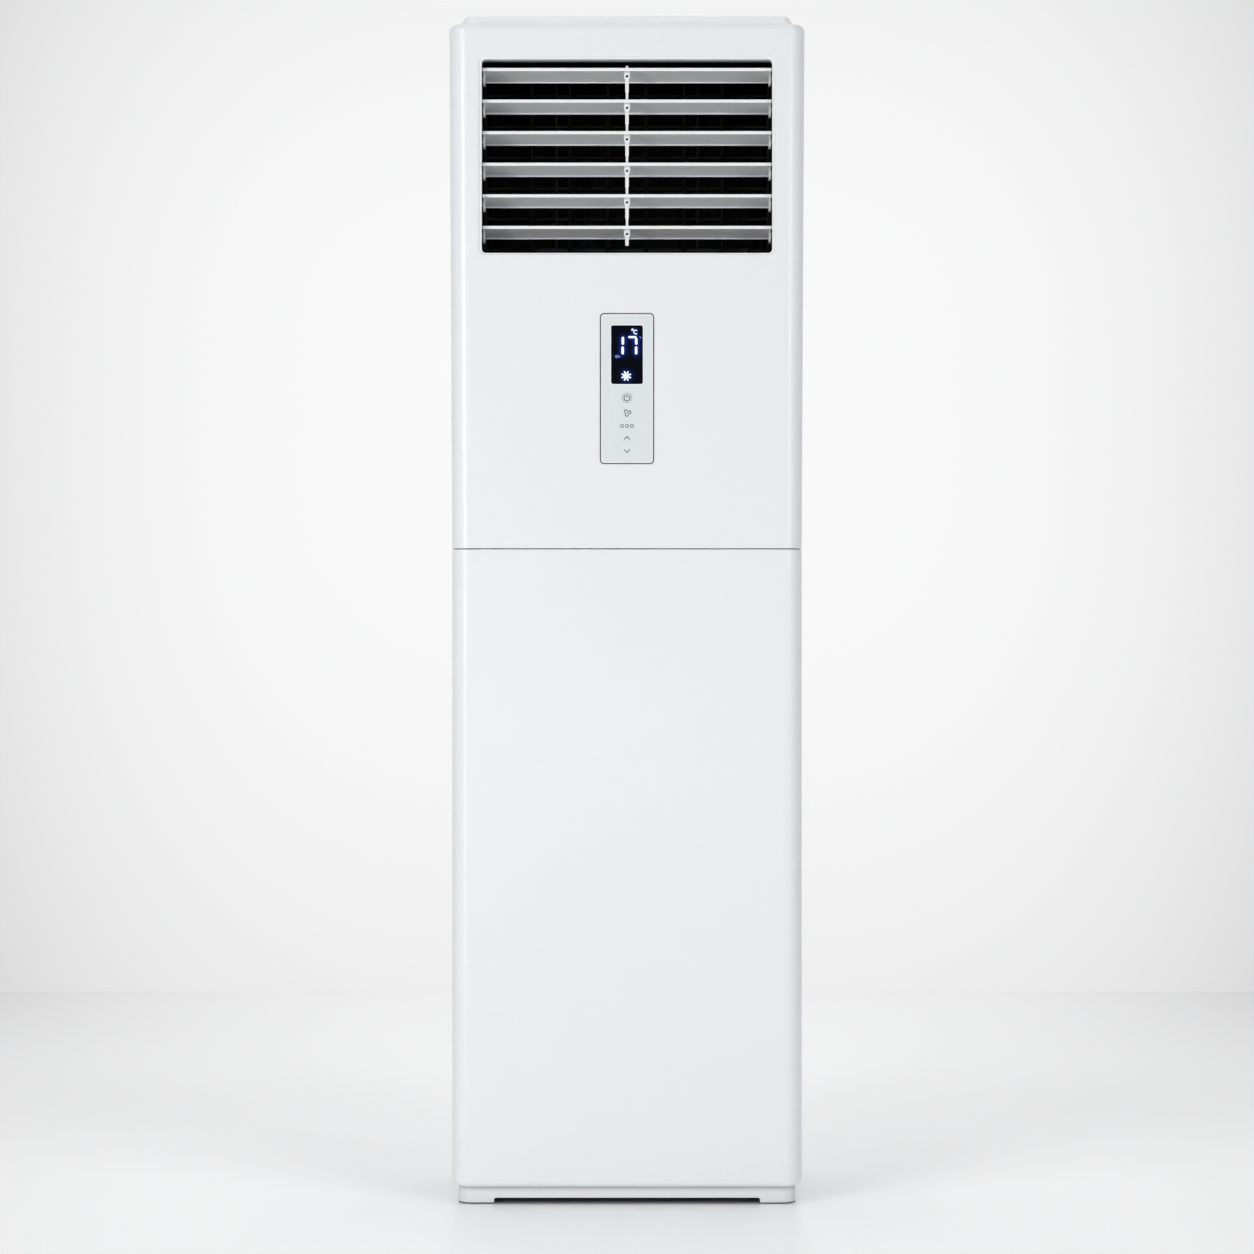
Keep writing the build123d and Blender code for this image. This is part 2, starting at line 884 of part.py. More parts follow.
for number, pin_height in enumerate(louvre_heights, start=1):
    # the blade's own plane: x runs back along the blade, y up, and its normal along the pins
    blade_plane = Plane(
        origin=(0, louvre_y, pin_height), x_dir=(0, cos(tilt), -sin(tilt)), z_dir=(1, 0, 0)
    )
    with BuildPart() as louvre:
        with BuildSketch(blade_plane):
            with BuildLine():
                crown = ThreePointArc(
                    (-louvre_reach, louvre_lift),
                    (blade_middle, louvre_lift + louvre_camber),
                    (louvre_tail, louvre_lift),
                )
                belly = ThreePointArc(
                    (-louvre_reach, louvre_lift - louvre_skin),
                    (blade_middle, louvre_lift + louvre_camber - louvre_skin),
                    (louvre_tail, louvre_lift - louvre_skin),
                )
                Line(crown @ 0, belly @ 0)
                Line(crown @ 1, belly @ 1)
            make_face()
            with Locations((nose_depth / 2 - louvre_reach, louvre_lift - louvre_skin / 2)):
                RectangleRounded(nose_depth, nose_height, nose_radius)
            with Locations((louvre_tail - tail_depth / 2, louvre_lift - tail_height / 2)):
                Rectangle(tail_depth, tail_height)
        extrude(amount=louvre_half, both=True)
        for side in (-1, 1):
            with BuildSketch(blade_plane.offset(side * louvre_half)) as plate_profile:
                with Locations((0, (plate_top - end_plate_drop) / 2)):
                    Rectangle(end_plate_length, plate_top + end_plate_drop)
                fillet(plate_profile.vertices().group_by(Axis.Y)[0], end_plate_radius)
            extrude(amount=-side * end_plate)
            with BuildSketch(blade_plane.offset(side * louvre_half)):
                Circle(louvre_boss_radius)
            extrude(amount=side * louvre_boss)
            with BuildSketch(blade_plane.offset(side * louvre_half)):
                Circle(louvre_pin_radius)
            extrude(amount=side * (pin_end - louvre_half))
            with BuildSketch(blade_plane.offset(side * ear_x)):
                with Locations((-ear_reach, -ear_drop)):
                    Circle(ear_radius)
                with Locations((-ear_reach, (ear_top - ear_drop) / 2)):
                    Rectangle(2 * ear_radius, ear_top + ear_drop)
            extrude(amount=ear_thickness / 2, both=True)
        with BuildSketch(blade_plane):
            with Locations((-ear_reach, -ear_drop)):
                Circle(link_pin_radius)
        extrude(amount=ear_x, both=True)
        with BuildSketch(blade_plane):
            with Locations((-ear_reach, (slot_low + slot_high) / 2)):
                Rectangle(slot_length, slot_high - slot_low)
        extrude(amount=link_width / 2 + slot_side_gap, both=True, mode=Mode.SUBTRACT)
    louvre.part.label = f"louvre_{number}"
    export_step(louvre.part, f"parts/louvre_{number}.step")

link_y = louvre_y - ear_reach * cos(tilt) - ear_drop * sin(tilt)
link_pins = [z + ear_reach * sin(tilt) - ear_drop * cos(tilt) for z in louvre_heights]
with BuildPart() as louvre_link:
    link_foot = link_pins[-1] - link_end_drop
    link_head = link_pins[0] + link_top_rise
    with BuildSketch(facing(link_y)):
        with Locations((0, (link_foot + link_head) / 2)):
            Rectangle(link_width, link_head - link_foot)
    extrude(amount=link_depth / 2, both=True)
    for pin_z in link_pins:
        paddle_foot = max(pin_z - paddle_below, link_foot)
        with BuildSketch(facing(link_y)):
            with Locations((0, (paddle_foot + pin_z + paddle_above) / 2)):
                RectangleRounded(
                    paddle_width, pin_z + paddle_above - paddle_foot, paddle_width / 3
                )
        extrude(amount=paddle_depth / 2, both=True)
        with BuildSketch(facing(link_y - paddle_depth / 2)):
            with Locations((0, (paddle_foot + pin_z) / 2)):
                Rectangle(paddle_slit, pin_z - paddle_foot - 2 * paddle_slit_margin)
            with Locations((0, pin_z)):
                Circle(dimple_radius)
        extrude(amount=-dimple_depth, mode=Mode.SUBTRACT)
    with BuildSketch(Plane.YZ):
        with Locations([(link_y, pin_z) for pin_z in link_pins]):
            Circle(link_pin_radius + pin_clearance)
    extrude(amount=paddle_width, both=True, mode=Mode.SUBTRACT)
louvre_link.part.label = "louvre_link"
export_step(louvre_link.part, "parts/louvre_link.step")

# ================================================================== duct, vanes and guard
vane_places = [(n - (vane_count - 1) / 2) * vane_pitch for n in range(vane_count)]
vane_low = duct_floor + vane_end_gap
vane_high = duct_floor + 2 * frame_half_height - vane_end_gap
vane_pin_reach = vane_end_gap + duct_wall - fit_gap
vane_link_y = vane_y + vane_arm

with BuildPart() as outlet_duct:
    extrude(
        front_outline(
            duct_far,
            2 * (frame_half_width + duct_wall),
            2 * (frame_half_height + duct_wall),
            opening_middle,
            opening_corner + duct_wall,
        ),
        amount=duct_depth,
    )
    extrude(
        front_outline(
            duct_far, 2 * frame_half_width, 2 * frame_half_height, opening_middle, opening_corner
        ),
        amount=duct_depth,
        mode=Mode.SUBTRACT,
    )
    with BuildSketch(Plane.XY.offset(opening_middle)):
        with Locations([(x, vane_y) for x in vane_places]):
            Circle(vane_pin_radius + pin_clearance)
    extrude(amount=opening_height, both=True, mode=Mode.SUBTRACT)
    with BuildSketch(Plane.XY.offset(duct_floor)):
        with Locations((crank_x, vane_y)):
            Circle(crank_hole_radius)
    extrude(amount=duct_wall, both=True, mode=Mode.SUBTRACT)
outlet_duct.part.label = "outlet_duct"
export_step(outlet_duct.part, "parts/outlet_duct.step")

notch_low = vane_link_height - notch_gap
notch_high = vane_link_height + vane_link_thickness + notch_gap
for number, vane_x in enumerate(vane_places, start=1):
    with BuildPart() as vane:
        with BuildSketch(Plane.XY.offset(vane_low)):
            with Locations((vane_x, vane_y)):
                RectangleRounded(vane_thickness, 2 * vane_half_depth, vane_thickness / 3)
                Circle(vane_pin_radius)
        extrude(amount=vane_high - vane_low)
        with BuildSketch(Plane.XY.offset(vane_low - vane_pin_reach)):
            with Locations((vane_x, vane_y)):
                Circle(vane_pin_radius)
        extrude(amount=vane_high - vane_low + 2 * vane_pin_reach)
        with BuildSketch(Plane.XY.offset(notch_low)):
            with Locations((vane_x, vane_link_y - notch_reach + vane_half_depth)):
                Rectangle(2 * vane_half_depth, 2 * vane_half_depth)
        extrude(amount=notch_high - notch_low, mode=Mode.SUBTRACT)
        with BuildSketch(Plane.XY.offset(notch_low)):
            with Locations((vane_x, vane_link_y)):
                Circle(vane_link_pin_radius)
        extrude(amount=notch_high - notch_low)
    vane.part.label = f"vane_{number}"
    export_step(vane.part, f"parts/vane_{number}.step")

link_left = vane_places[0] - vane_link_depth
link_right = crank_x + vane_link_depth
with BuildPart() as vane_link:
    with BuildSketch(Plane.XY.offset(vane_link_height)):
        with Locations(((link_left + link_right) / 2, vane_link_y)):
            SlotOverall(link_right - link_left, vane_link_depth)
        with Locations([(x, vane_link_y) for x in vane_places + [crank_x]]):
            Circle(vane_link_pin_radius + pin_clearance, mode=Mode.SUBTRACT)
    extrude(amount=vane_link_thickness)
vane_link.part.label = "vane_link"
export_step(vane_link.part, "parts/vane_link.step")

can_top = duct_floor - duct_wall
with BuildPart() as swing_crank:
    crank_top = vane_link_height - crank_gap
    with BuildSketch(Plane.XY.offset(crank_top)):
        with Locations((crank_x, vane_y), (crank_x, vane_link_y)):
            Circle(crank_radius)
        with Locations((crank_x, (vane_y + vane_link_y) / 2)):
            Rectangle(2 * crank_radius, vane_arm)
    extrude(amount=-crank_thickness)
    with BuildSketch(Plane.XY.offset(crank_top)):
        with Locations((crank_x, vane_link_y)):
            Circle(vane_link_pin_radius)
    extrude(amount=crank_gap + vane_link_thickness + notch_gap)
    with BuildSketch(Plane.XY.offset(crank_top)):
        with Locations((crank_x, vane_y)):
            Circle(crank_radius)
    extrude(amount=-(crank_top - duct_floor))
    with BuildSketch(Plane.XY.offset(crank_top)):
        with Locations((crank_x, vane_y)):
            Circle(swing_shaft_radius)
    extrude(amount=-(crank_top - can_top + swing_bore_depth - crank_gap))
swing_crank.part.label = "swing_crank"
export_step(swing_crank.part, "parts/swing_crank.step")

with BuildPart() as swing_motor:
    with BuildSketch(Plane.XY.offset(can_top)):
        with Locations((crank_x, vane_y)):
            Circle(motor_can_radius)
    extrude(amount=-motor_can_height)
    with BuildSketch(Plane.XY.offset(can_top)):
        with Locations((crank_x, vane_y)):
            SlotOverall(motor_ear_span + 2 * motor_ear_radius, 2 * motor_ear_radius)
    extrude(amount=-motor_ear_thickness)
    with BuildSketch(Plane.XY.offset(can_top)):
        with Locations((crank_x, vane_y)):
            Circle(swing_shaft_radius + shaft_clearance)
    extrude(amount=-swing_bore_depth, mode=Mode.SUBTRACT)
swing_motor.part.label = "swing_motor"
export_step(swing_motor.part, "parts/swing_motor.step")

with BuildPart() as outlet_guard:
    guard_width = 2 * (frame_half_width + duct_wall)
    guard_height = 2 * (frame_half_height + duct_wall)
    extrude(
        front_outline(guard_far, guard_width, guard_height, opening_middle, opening_corner),
        amount=guard_depth,
    )
    extrude(
        front_outline(
            guard_far,
            guard_width - 2 * guard_border,
            guard_height - 2 * guard_border,
            opening_middle,
            opening_corner,
        ),
        amount=guard_depth,
        mode=Mode.SUBTRACT,
    )
    with BuildSketch(facing(guard_far)):
        with Locations([(0, z - louvre_pitch / 4) for z in louvre_heights]):
            Rectangle(guard_width - guard_border, guard_bar)
        with Locations((0, opening_middle)):
            with GridLocations(guard_post_spacing, 1, guard_post_count, 1):
                Rectangle(guard_bar, guard_height - guard_border)
    extrude(amount=guard_depth)
outlet_guard.part.label = "outlet_guard"
export_step(outlet_guard.part, "parts/outlet_guard.step")

# ================================================================== deck and coil chamber
scroll_right = blower_x + scroll_growth / 2 + scroll_radius + 2 * scroll_growth
tongue_left = blower_x + tongue_x
outlet_middle = (tongue_left + scroll_right) / 2
collar_width = scroll_right - tongue_left

with BuildPart() as mid_deck:
    extrude(
        plan_outline(mid_deck_height, 2 * liner_half, side_near + sheet, side_far - sheet),
        amount=sheet,
    )
    with BuildSketch(facing(side_near + 2 * sheet)):
        with Locations((0, deck_top - mid_deck_skirt / 2)):
            Rectangle(2 * liner_half, mid_deck_skirt)
    extrude(amount=sheet)
    with BuildSketch(Plane.XY.offset(mid_deck_height)):
        with Locations((outlet_middle, (housing_near + housing_far) / 2)):
            Rectangle(collar_width, housing_far - housing_near)
        with Locations((drain_x, drain_y)):
            Circle(drain_radius + fit_gap)
        with Locations((pipe_x, gas_y)):
            Circle(gas_radius + fit_gap)
        with Locations((pipe_x, liquid_y)):
            Circle(liquid_radius + fit_gap)
    extrude(amount=sheet, mode=Mode.SUBTRACT)
mid_deck.part.label = "mid_deck"
export_step(mid_deck.part, "parts/mid_deck.step")

slope = radians(coil_tilt)
coil_foot = (
    deck_top
    + pan_wall
    + fit_gap
    + end_sheet_margin * cos(slope)
    + (coil_thickness / 2 + end_sheet_margin) * sin(slope)
)
# the coil's own plane: x across, y through it to the back, and its normal up along the coil
coil_plane = Plane(
    origin=(0, coil_foot_y, coil_foot), x_dir=(1, 0, 0), z_dir=(0, sin(slope), cos(slope))
)
coil_crest = coil_plane.from_local_coords(
    (0, coil_thickness / 2 + end_sheet_margin, coil_length + end_sheet_margin)
)

with BuildPart() as insulation_liner:
    extrude(
        plan_outline(deck_top, 2 * liner_half, liner_near, liner_far),
        amount=liner_top - deck_top,
    )
    extrude(
        plan_outline(
            deck_top,
            2 * (liner_half - liner_side),
            liner_near + liner_front,
            coil_crest.Y + fit_gap,
        ),
        amount=liner_top - liner_roof - deck_top,
        mode=Mode.SUBTRACT,
    )
    extrude(
        front_outline(
            liner_near,
            2 * (frame_half_width + frame_wall + fit_gap),
            2 * (frame_half_height + frame_wall + fit_gap),
            opening_middle,
            opening_corner + frame_wall,
        ),
        amount=liner_near - guard_far - fit_gap,
        mode=Mode.SUBTRACT,
    )
    with BuildSketch(facing(liner_far)):  # pockets for the case screws
        with Locations(screw_spots):
            Circle(screw_radius + screw_clearance)
    extrude(amount=screw_length, mode=Mode.SUBTRACT)
insulation_liner.part.label = "insulation_liner"
export_step(insulation_liner.part, "parts/insulation_liner.step")

with BuildPart() as evaporator_fins:
    with BuildSketch(coil_plane):
        Rectangle(coil_width, coil_thickness)
    extrude(amount=coil_length)
evaporator_fins.part.label = "evaporator_fins"
export_step(evaporator_fins.part, "parts/evaporator_fins.step")

with BuildPart() as evaporator_end_plates:
    with BuildSketch(coil_plane.offset(-end_sheet_margin)):
        with GridLocations(coil_width + end_sheet, 1, 2, 1):
            Rectangle(end_sheet, coil_thickness + 2 * end_sheet_margin)
    extrude(amount=coil_length + 2 * end_sheet_margin)
evaporator_end_plates.part.label = "evaporator_end_plates"
export_step(evaporator_end_plates.part, "parts/evaporator_end_plates.step")

bend_x = coil_width / 2 + end_sheet
with BuildPart() as return_bends:
    for side in (-1, 1):
        for row in range(bend_count):
            middle = coil_plane.from_local_coords(
                (side * bend_x, -bend_row_offset, bend_start + row * bend_spacing)
            )
            start = middle - coil_plane.z_dir * (bend_pitch / 2)
            with BuildSketch(Plane(origin=start, z_dir=(1, 0, 0))):
                Circle(bend_tube_radius)
            revolve(axis=Axis(middle, coil_plane.y_dir * -side), revolution_arc=180)
return_bends.part.label = "return_bends"
export_step(return_bends.part, "parts/return_bends.step")

with BuildPart() as drain_pan:
    extrude(plan_outline(deck_top, pan_width, pan_front, pan_back), amount=pan_height)
    extrude(
        plan_outline(
            deck_top + pan_wall,
            pan_width - 2 * pan_wall,
            pan_front + pan_wall,
            pan_back - pan_wall,
        ),
        amount=pan_height,
        mode=Mode.SUBTRACT,
    )
    with BuildSketch(Plane.XY.offset(deck_top)):
        with Locations((drain_x, drain_y)):
            Circle(drain_radius)
    extrude(amount=-drain_spigot)
    with BuildSketch(Plane.XY.offset(deck_top + pan_wall)):
        with Locations((drain_x, drain_y)):
            Circle(drain_radius - pan_wall)
    extrude(amount=-drain_spigot - pan_wall, mode=Mode.SUBTRACT)
drain_pan.part.label = "drain_pan"
export_step(drain_pan.part, "parts/drain_pan.step")

hose_top = mid_deck_height - drain_radius
with BuildPart() as drain_hose:
    with BuildLine():
        FilletPolyline(
            (drain_x, drain_y, hose_top),
            (drain_x, drain_y, drain_end_height),
            (drain_x, drain_end_y, drain_end_height),
            radius=drain_bend,
        )
    with BuildSketch(Plane.XY.offset(hose_top)):
        with Locations((drain_x, drain_y)):
            Circle(drain_radius + fit_gap + drain_hose_wall)
            Circle(drain_radius + fit_gap, mode=Mode.SUBTRACT)
    sweep()
drain_hose.part.label = "drain_hose"
export_step(drain_hose.part, "parts/drain_hose.step")

with BuildPart() as suction_header:
    with BuildSketch(coil_plane.offset(header_low)):
        with Locations((pipe_x, header_offset)):
            Circle(header_radius)
    extrude(amount=header_high - header_low)
    for row in range(feeder_count):
        joint = coil_plane.from_local_coords(
            (pipe_x, header_offset, header_low + (row + 1 / 2) * feeder_spacing)
        )
        with BuildSketch(Plane(origin=joint, z_dir=(1, 0, 0))):
            Circle(feeder_radius)
        extrude(amount=-pipe_x - bend_x)
suction_header.part.label = "suction_header"
export_step(suction_header.part, "parts/suction_header.step")

header_foot = coil_plane.from_local_coords((pipe_x, header_offset, header_low))
header_end = coil_plane.from_local_coords((pipe_x, header_offset, header_turn))
with BuildPart() as gas_pipe:
    with BuildLine():
        FilletPolyline(
            header_foot,
            header_end,
            (pipe_x, gas_y, pipe_knee),
            (pipe_x, gas_y, pipe_end_height),
            (gas_end_x, pipe_end_y, pipe_end_height),
            radius=pipe_bend,
        )
    with BuildSketch(Plane(origin=header_foot, z_dir=coil_plane.z_dir)):
        Circle(gas_radius)
    sweep()
gas_pipe.part.label = "gas_pipe"
export_step(gas_pipe.part, "parts/gas_pipe.step")

entry = coil_plane.from_local_coords((-bend_x, -bend_row_offset, liquid_entry))
with BuildPart() as liquid_pipe:
    with BuildLine():
        FilletPolyline(
            entry,
            (pipe_x, entry.Y, entry.Z),
            (pipe_x, liquid_y, pipe_knee),
            (pipe_x, liquid_y, pipe_end_height),
            (liquid_end_x, pipe_end_y, pipe_end_height),
            radius=pipe_bend,
        )
    with BuildSketch(Plane(origin=entry, z_dir=(1, 0, 0))):
        Circle(liquid_radius)
    sweep()
liquid_pipe.part.label = "liquid_pipe"
export_step(liquid_pipe.part, "parts/liquid_pipe.step")

with BuildPart() as flare_nuts:
    for end_x, start_y, radius, nut in (
        (gas_end_x, gas_y, gas_radius, nut_radius),
        (liquid_end_x, liquid_y, liquid_radius, liquid_nut_radius),
    ):
        run = Vector(pipe_x - end_x, start_y - pipe_end_y, 0)
        with BuildSketch(Plane(origin=(end_x, pipe_end_y, pipe_end_height), z_dir=run)):
            RegularPolygon(nut, 6)
            Circle(radius + shaft_clearance, mode=Mode.SUBTRACT)
        extrude(amount=nut_length)
flare_nuts.part.label = "flare_nuts"
export_step(flare_nuts.part, "parts/flare_nuts.step")

with BuildPart() as pipe_grommet:
    grommet_outer = exit_radius + grommet_wall
    with BuildSketch(facing(back_face + grommet_lip)):
        with Locations((exit_x, exit_height)):
            Circle(grommet_outer)
    extrude(amount=grommet_length)
    with BuildSketch(facing(back_face + grommet_lip)):
        with Locations((exit_x, exit_height)):
            Circle(grommet_outer + grommet_flange)
    extrude(amount=grommet_lip)
    with BuildSketch(facing(back_face + grommet_lip)):
        with Locations((exit_x, exit_height)):
            Circle(exit_radius)
    extrude(amount=grommet_length, mode=Mode.SUBTRACT)
pipe_grommet.part.label = "pipe_grommet"
export_step(pipe_grommet.part, "parts/pipe_grommet.step")

# ================================================================== blower
wheel_back = wheel_front + wheel_width
wheel_axis = Axis((blower_x, 0, blower_height), (0, 1, 0))
# half section of the wheel, ring and motor: x is the radius and y runs to the back
section_plane = Plane(origin=(blower_x, 0, blower_height), x_dir=(1, 0, 0), z_dir=(0, 0, 1))


def scroll_profile(depth_y, grown):
    """Spiral outline of the blower with its outlet up to the deck, grown by this much."""
    lean = scroll_growth / 2
    left = blower_x - lean
    right = blower_x + lean
    low = blower_height - lean
    high = blower_height + lean
    first = scroll_radius + grown
    last = first + 2 * scroll_growth
    tip = tongue_left - tongue_radius
    tip_height = low + scroll_radius + tongue_radius
    with BuildSketch(facing(depth_y), mode=Mode.PRIVATE) as outline:
        with BuildLine():
            CenterArc((left, low), first, 90, 90)
            CenterArc((right, low), first + scroll_growth, 180, 90)
            CenterArc((right, high), last, 270, 90)
            Line((left, low + first), (tip, low + first))
            CenterArc((tip, tip_height), tongue_radius - grown, -90, 90)
            Polyline(
                (tongue_left - grown, tip_height),
                (tongue_left - grown, mid_deck_height),
                (right + last, mid_deck_height),
                (right + last, high),
            )
        make_face()
    return outline.sketch


with BuildPart() as blower_housing:
    extrude(
        scroll_profile(housing_far + scroll_wall, scroll_wall),
        amount=housing_far - housing_near + 2 * scroll_wall,
    )
    with BuildSketch(Plane.XY.offset(mid_deck_height)):
        with Locations((outlet_middle, (housing_near + housing_far) / 2)):
            Rectangle(
                collar_width + 2 * collar_flange, housing_far - housing_near + 2 * collar_flange
            )
    extrude(amount=-scroll_wall)
    extrude(
        scroll_profile(housing_far, 0),
        amount=housing_far - housing_near,
        mode=Mode.SUBTRACT,
    )
    with BuildSketch(facing(housing_near)):
        with Locations((blower_x, blower_height)):
            Circle(inlet_hole_radius)
    extrude(amount=2 * scroll_wall, mode=Mode.SUBTRACT)
    with BuildSketch(facing(housing_far)):
        with Locations((blower_x, blower_height)):
            Circle(motor_hole_radius)
    extrude(amount=-2 * scroll_wall, mode=Mode.SUBTRACT)
blower_housing.part.label = "blower_housing"
export_step(blower_housing.part, "parts/blower_housing.step")

with BuildPart() as inlet_ring:
    throat_end = wheel_front - inlet_gap
    ring_front = housing_near - scroll_wall - inlet_wall
    bell = throat_end - ring_front
    bell_skin = bell - inlet_wall
    flange_edge = inlet_hole_radius + inlet_flange
    with BuildSketch(section_plane):
        with BuildLine():
            CenterArc((inlet_throat + bell, throat_end), bell, 180, 90)
            CenterArc((inlet_throat + bell, throat_end), bell_skin, 180, 90)
            Line((inlet_throat, throat_end), (inlet_throat + inlet_wall, throat_end))
            Polyline(
                (inlet_throat + bell, ring_front),
                (flange_edge, ring_front),
                (flange_edge, ring_front + inlet_wall),
                (inlet_throat + bell, ring_front + inlet_wall),
            )
        make_face()
    revolve(axis=wheel_axis)
inlet_ring.part.label = "inlet_ring"
export_step(inlet_ring.part, "parts/inlet_ring.step")

dish_floor = wheel_back - ring_thickness - dish_depth
hub_front = dish_floor - hub_lead
rim_radius = wheel_radius + ring_rim
with BuildPart() as blower_impeller:
    with BuildSketch(Plane.XY, mode=Mode.PRIVATE) as blade:
        root = Vector(wheel_radius - blade_depth, 0)
        tip = Vector(wheel_radius, 0).rotate(Axis.Z, blade_sweep)
        bow = (root + tip) / 2 + (tip - root).rotate(Axis.Z, -90).normalized() * blade_bow
        skin = Vector(0, blade_skin)
        with BuildLine():
            ThreePointArc(root, bow, tip)
            ThreePointArc(root + skin, bow + skin, tip + skin)
            Line(root, root + skin)
            Line(tip, tip + skin)
        make_face()
    with BuildSketch(facing(wheel_back - ring_thickness / 2)):
        with Locations((blower_x, blower_height)):
            with PolarLocations(0, blade_count):
                add(blade.sketch)
    extrude(amount=wheel_width - ring_thickness)
    with BuildSketch(section_plane):
        with Locations((rim_radius - ring_width / 2, wheel_front + ring_thickness / 2)):
            Rectangle(ring_width, ring_thickness)
        with Locations(((dish_radius + rim_radius) / 2, wheel_back - ring_thickness / 2)):
            Rectangle(rim_radius - dish_radius, ring_thickness)
        with Locations((dish_radius - ring_thickness / 2, (dish_floor + wheel_back) / 2)):
            Rectangle(ring_thickness, wheel_back - dish_floor)
        with Locations((dish_radius / 2, dish_floor + ring_thickness / 2)):
            Rectangle(dish_radius, ring_thickness)
        with Locations((hub_radius / 2, hub_front + hub_length / 2)):
            Rectangle(hub_radius, hub_length)
        with Locations((0, hub_front + hub_length / 2)):
            Rectangle(2 * (shaft_radius + shaft_clearance), 2 * hub_length, mode=Mode.SUBTRACT)
    revolve(axis=wheel_axis)
blower_impeller.part.label = "blower_impeller"
export_step(blower_impeller.part, "parts/blower_impeller.step")

bracket_back = housing_far + scroll_wall + bracket_thickness
motor_front = bracket_back - motor_length
shaft_front = hub_front - shaft_front_stub
with BuildPart() as motor_shaft:
    with BuildSketch(facing(motor_front + motor_bore_depth - shaft_end_gap)):
        with Locations((blower_x, blower_height)):
            Circle(shaft_radius)
    extrude(amount=motor_front + motor_bore_depth - shaft_end_gap - shaft_front)
motor_shaft.part.label = "motor_shaft"
export_step(motor_shaft.part, "parts/motor_shaft.step")

with BuildPart() as impeller_nut:
    with BuildSketch(facing(hub_front)):
        with Locations((blower_x, blower_height)):
            RegularPolygon(nut_across / 2, 6, major_radius=False)
            Circle(shaft_radius + shaft_clearance, mode=Mode.SUBTRACT)
    extrude(amount=nut_thickness)
impeller_nut.part.label = "impeller_nut"
export_step(impeller_nut.part, "parts/impeller_nut.step")

with BuildPart() as blower_motor:
    with BuildSketch(facing(bracket_back)):
        with Locations((blower_x, blower_height)):
            Circle(motor_radius)
    extrude(amount=motor_length)
    with BuildSketch(facing(bracket_back)):
        with Locations((blower_x, blower_height)):
            Circle(motor_flange_radius)
    extrude(amount=-motor_flange)
    with BuildSketch(facing(bracket_back)):
        with Locations((blower_x, blower_height)):
            Circle(motor_boss_radius)
    extrude(amount=-motor_flange - motor_boss)
    with BuildSketch(facing(motor_front)):
        with Locations((blower_x, blower_height)):
            Circle(shaft_radius + shaft_clearance)
    extrude(amount=-motor_bore_depth, mode=Mode.SUBTRACT)
blower_motor.part.label = "blower_motor"
export_step(blower_motor.part, "parts/blower_motor.step")

with BuildPart() as motor_bracket:
    ring_inner = motor_radius + fit_gap
    arm_reach = motor_hole_radius + bracket_ring / 2
    with BuildSketch(facing(bracket_back)):
        with Locations((blower_x, blower_height)):
            Circle(motor_hole_radius + bracket_ring)
            Circle(motor_hole_radius, mode=Mode.SUBTRACT)
            with PolarLocations(arm_reach / 2, bracket_arm_count, 90):
                Rectangle(arm_reach, bracket_arm)
            Circle(ring_inner + bracket_ring)
            Circle(ring_inner, mode=Mode.SUBTRACT)
    extrude(amount=bracket_thickness)
motor_bracket.part.label = "motor_bracket"
export_step(motor_bracket.part, "parts/motor_bracket.step")

# ================================================================== side intakes
slat_room = intake_height - 2 * intake_gap - 2 * intake_border
slat_rows = int(slat_room / slat_pitch)
bar_spacing = slat_room / (filter_bar_count + 1)
for side, name in ((-1, "left"), (1, "right")):
    face_x = side * (half_cabinet + intake_face)
    inner_x = side * (half_cabinet - intake_depth)
    body_depth = intake_face + intake_depth
    with BuildPart() as intake_grille:
        with BuildSketch(Plane.YZ.offset(side * half_cabinet)):
            with Locations((intake_middle_y, intake_middle_z)):
                Rectangle(intake_length + 2 * intake_flange, intake_height + 2 * intake_flange)
        extrude(amount=side * intake_face)
        with BuildSketch(Plane.YZ.offset(inner_x)):
            with Locations((intake_middle_y, intake_middle_z)):
                Rectangle(intake_length - 2 * intake_gap, intake_height - 2 * intake_gap)
        extrude(amount=side * body_depth)
        with BuildSketch(Plane.YZ.offset(inner_x)):
            with Locations((intake_middle_y, intake_middle_z)):
                Rectangle(
                    intake_length - 2 * intake_gap - 2 * intake_border,
                    intake_height - 2 * intake_gap - 2 * intake_border,
                )
        extrude(amount=side * body_depth, mode=Mode.SUBTRACT)
        with BuildSketch(facing(intake_middle_y)):
            with Locations(((face_x + inner_x) / 2, intake_middle_z)):
                with GridLocations(1, slat_pitch, 1, slat_rows):
                    Rectangle(slat_chord, slat_thickness, rotation=-side * slat_angle)
        extrude(amount=intake_length / 2 - intake_gap - intake_border / 2, both=True)
    intake_grille.part.label = f"{name}_intake_grille"
    export_step(intake_grille.part, f"parts/{name}_intake_grille.step")

    with BuildPart() as intake_filter:
        with BuildSketch(Plane.YZ.offset(inner_x)):
            with Locations((intake_middle_y, intake_middle_z)):
                Rectangle(intake_length - 2 * intake_gap, intake_height - 2 * intake_gap)
                Rectangle(
                    intake_length - 2 * intake_gap - 2 * filter_border,
                    intake_height - 2 * intake_gap - 2 * filter_border,
                    mode=Mode.SUBTRACT,
                )
                with GridLocations(1, bar_spacing, 1, filter_bar_count):
                    Rectangle(intake_length - 2 * filter_border, filter_bar)
        extrude(amount=-side * filter_depth)
        with BuildSketch(Plane.YZ.offset(inner_x - side * (filter_depth + filter_mesh) / 2)):
            with Locations((intake_middle_y, intake_middle_z)):
                Rectangle(intake_length - 2 * filter_border, intake_height - 2 * filter_border)
        extrude(amount=side * filter_mesh)
    intake_filter.part.label = f"{name}_filter"
    export_step(intake_filter.part, f"parts/{name}_filter.step")

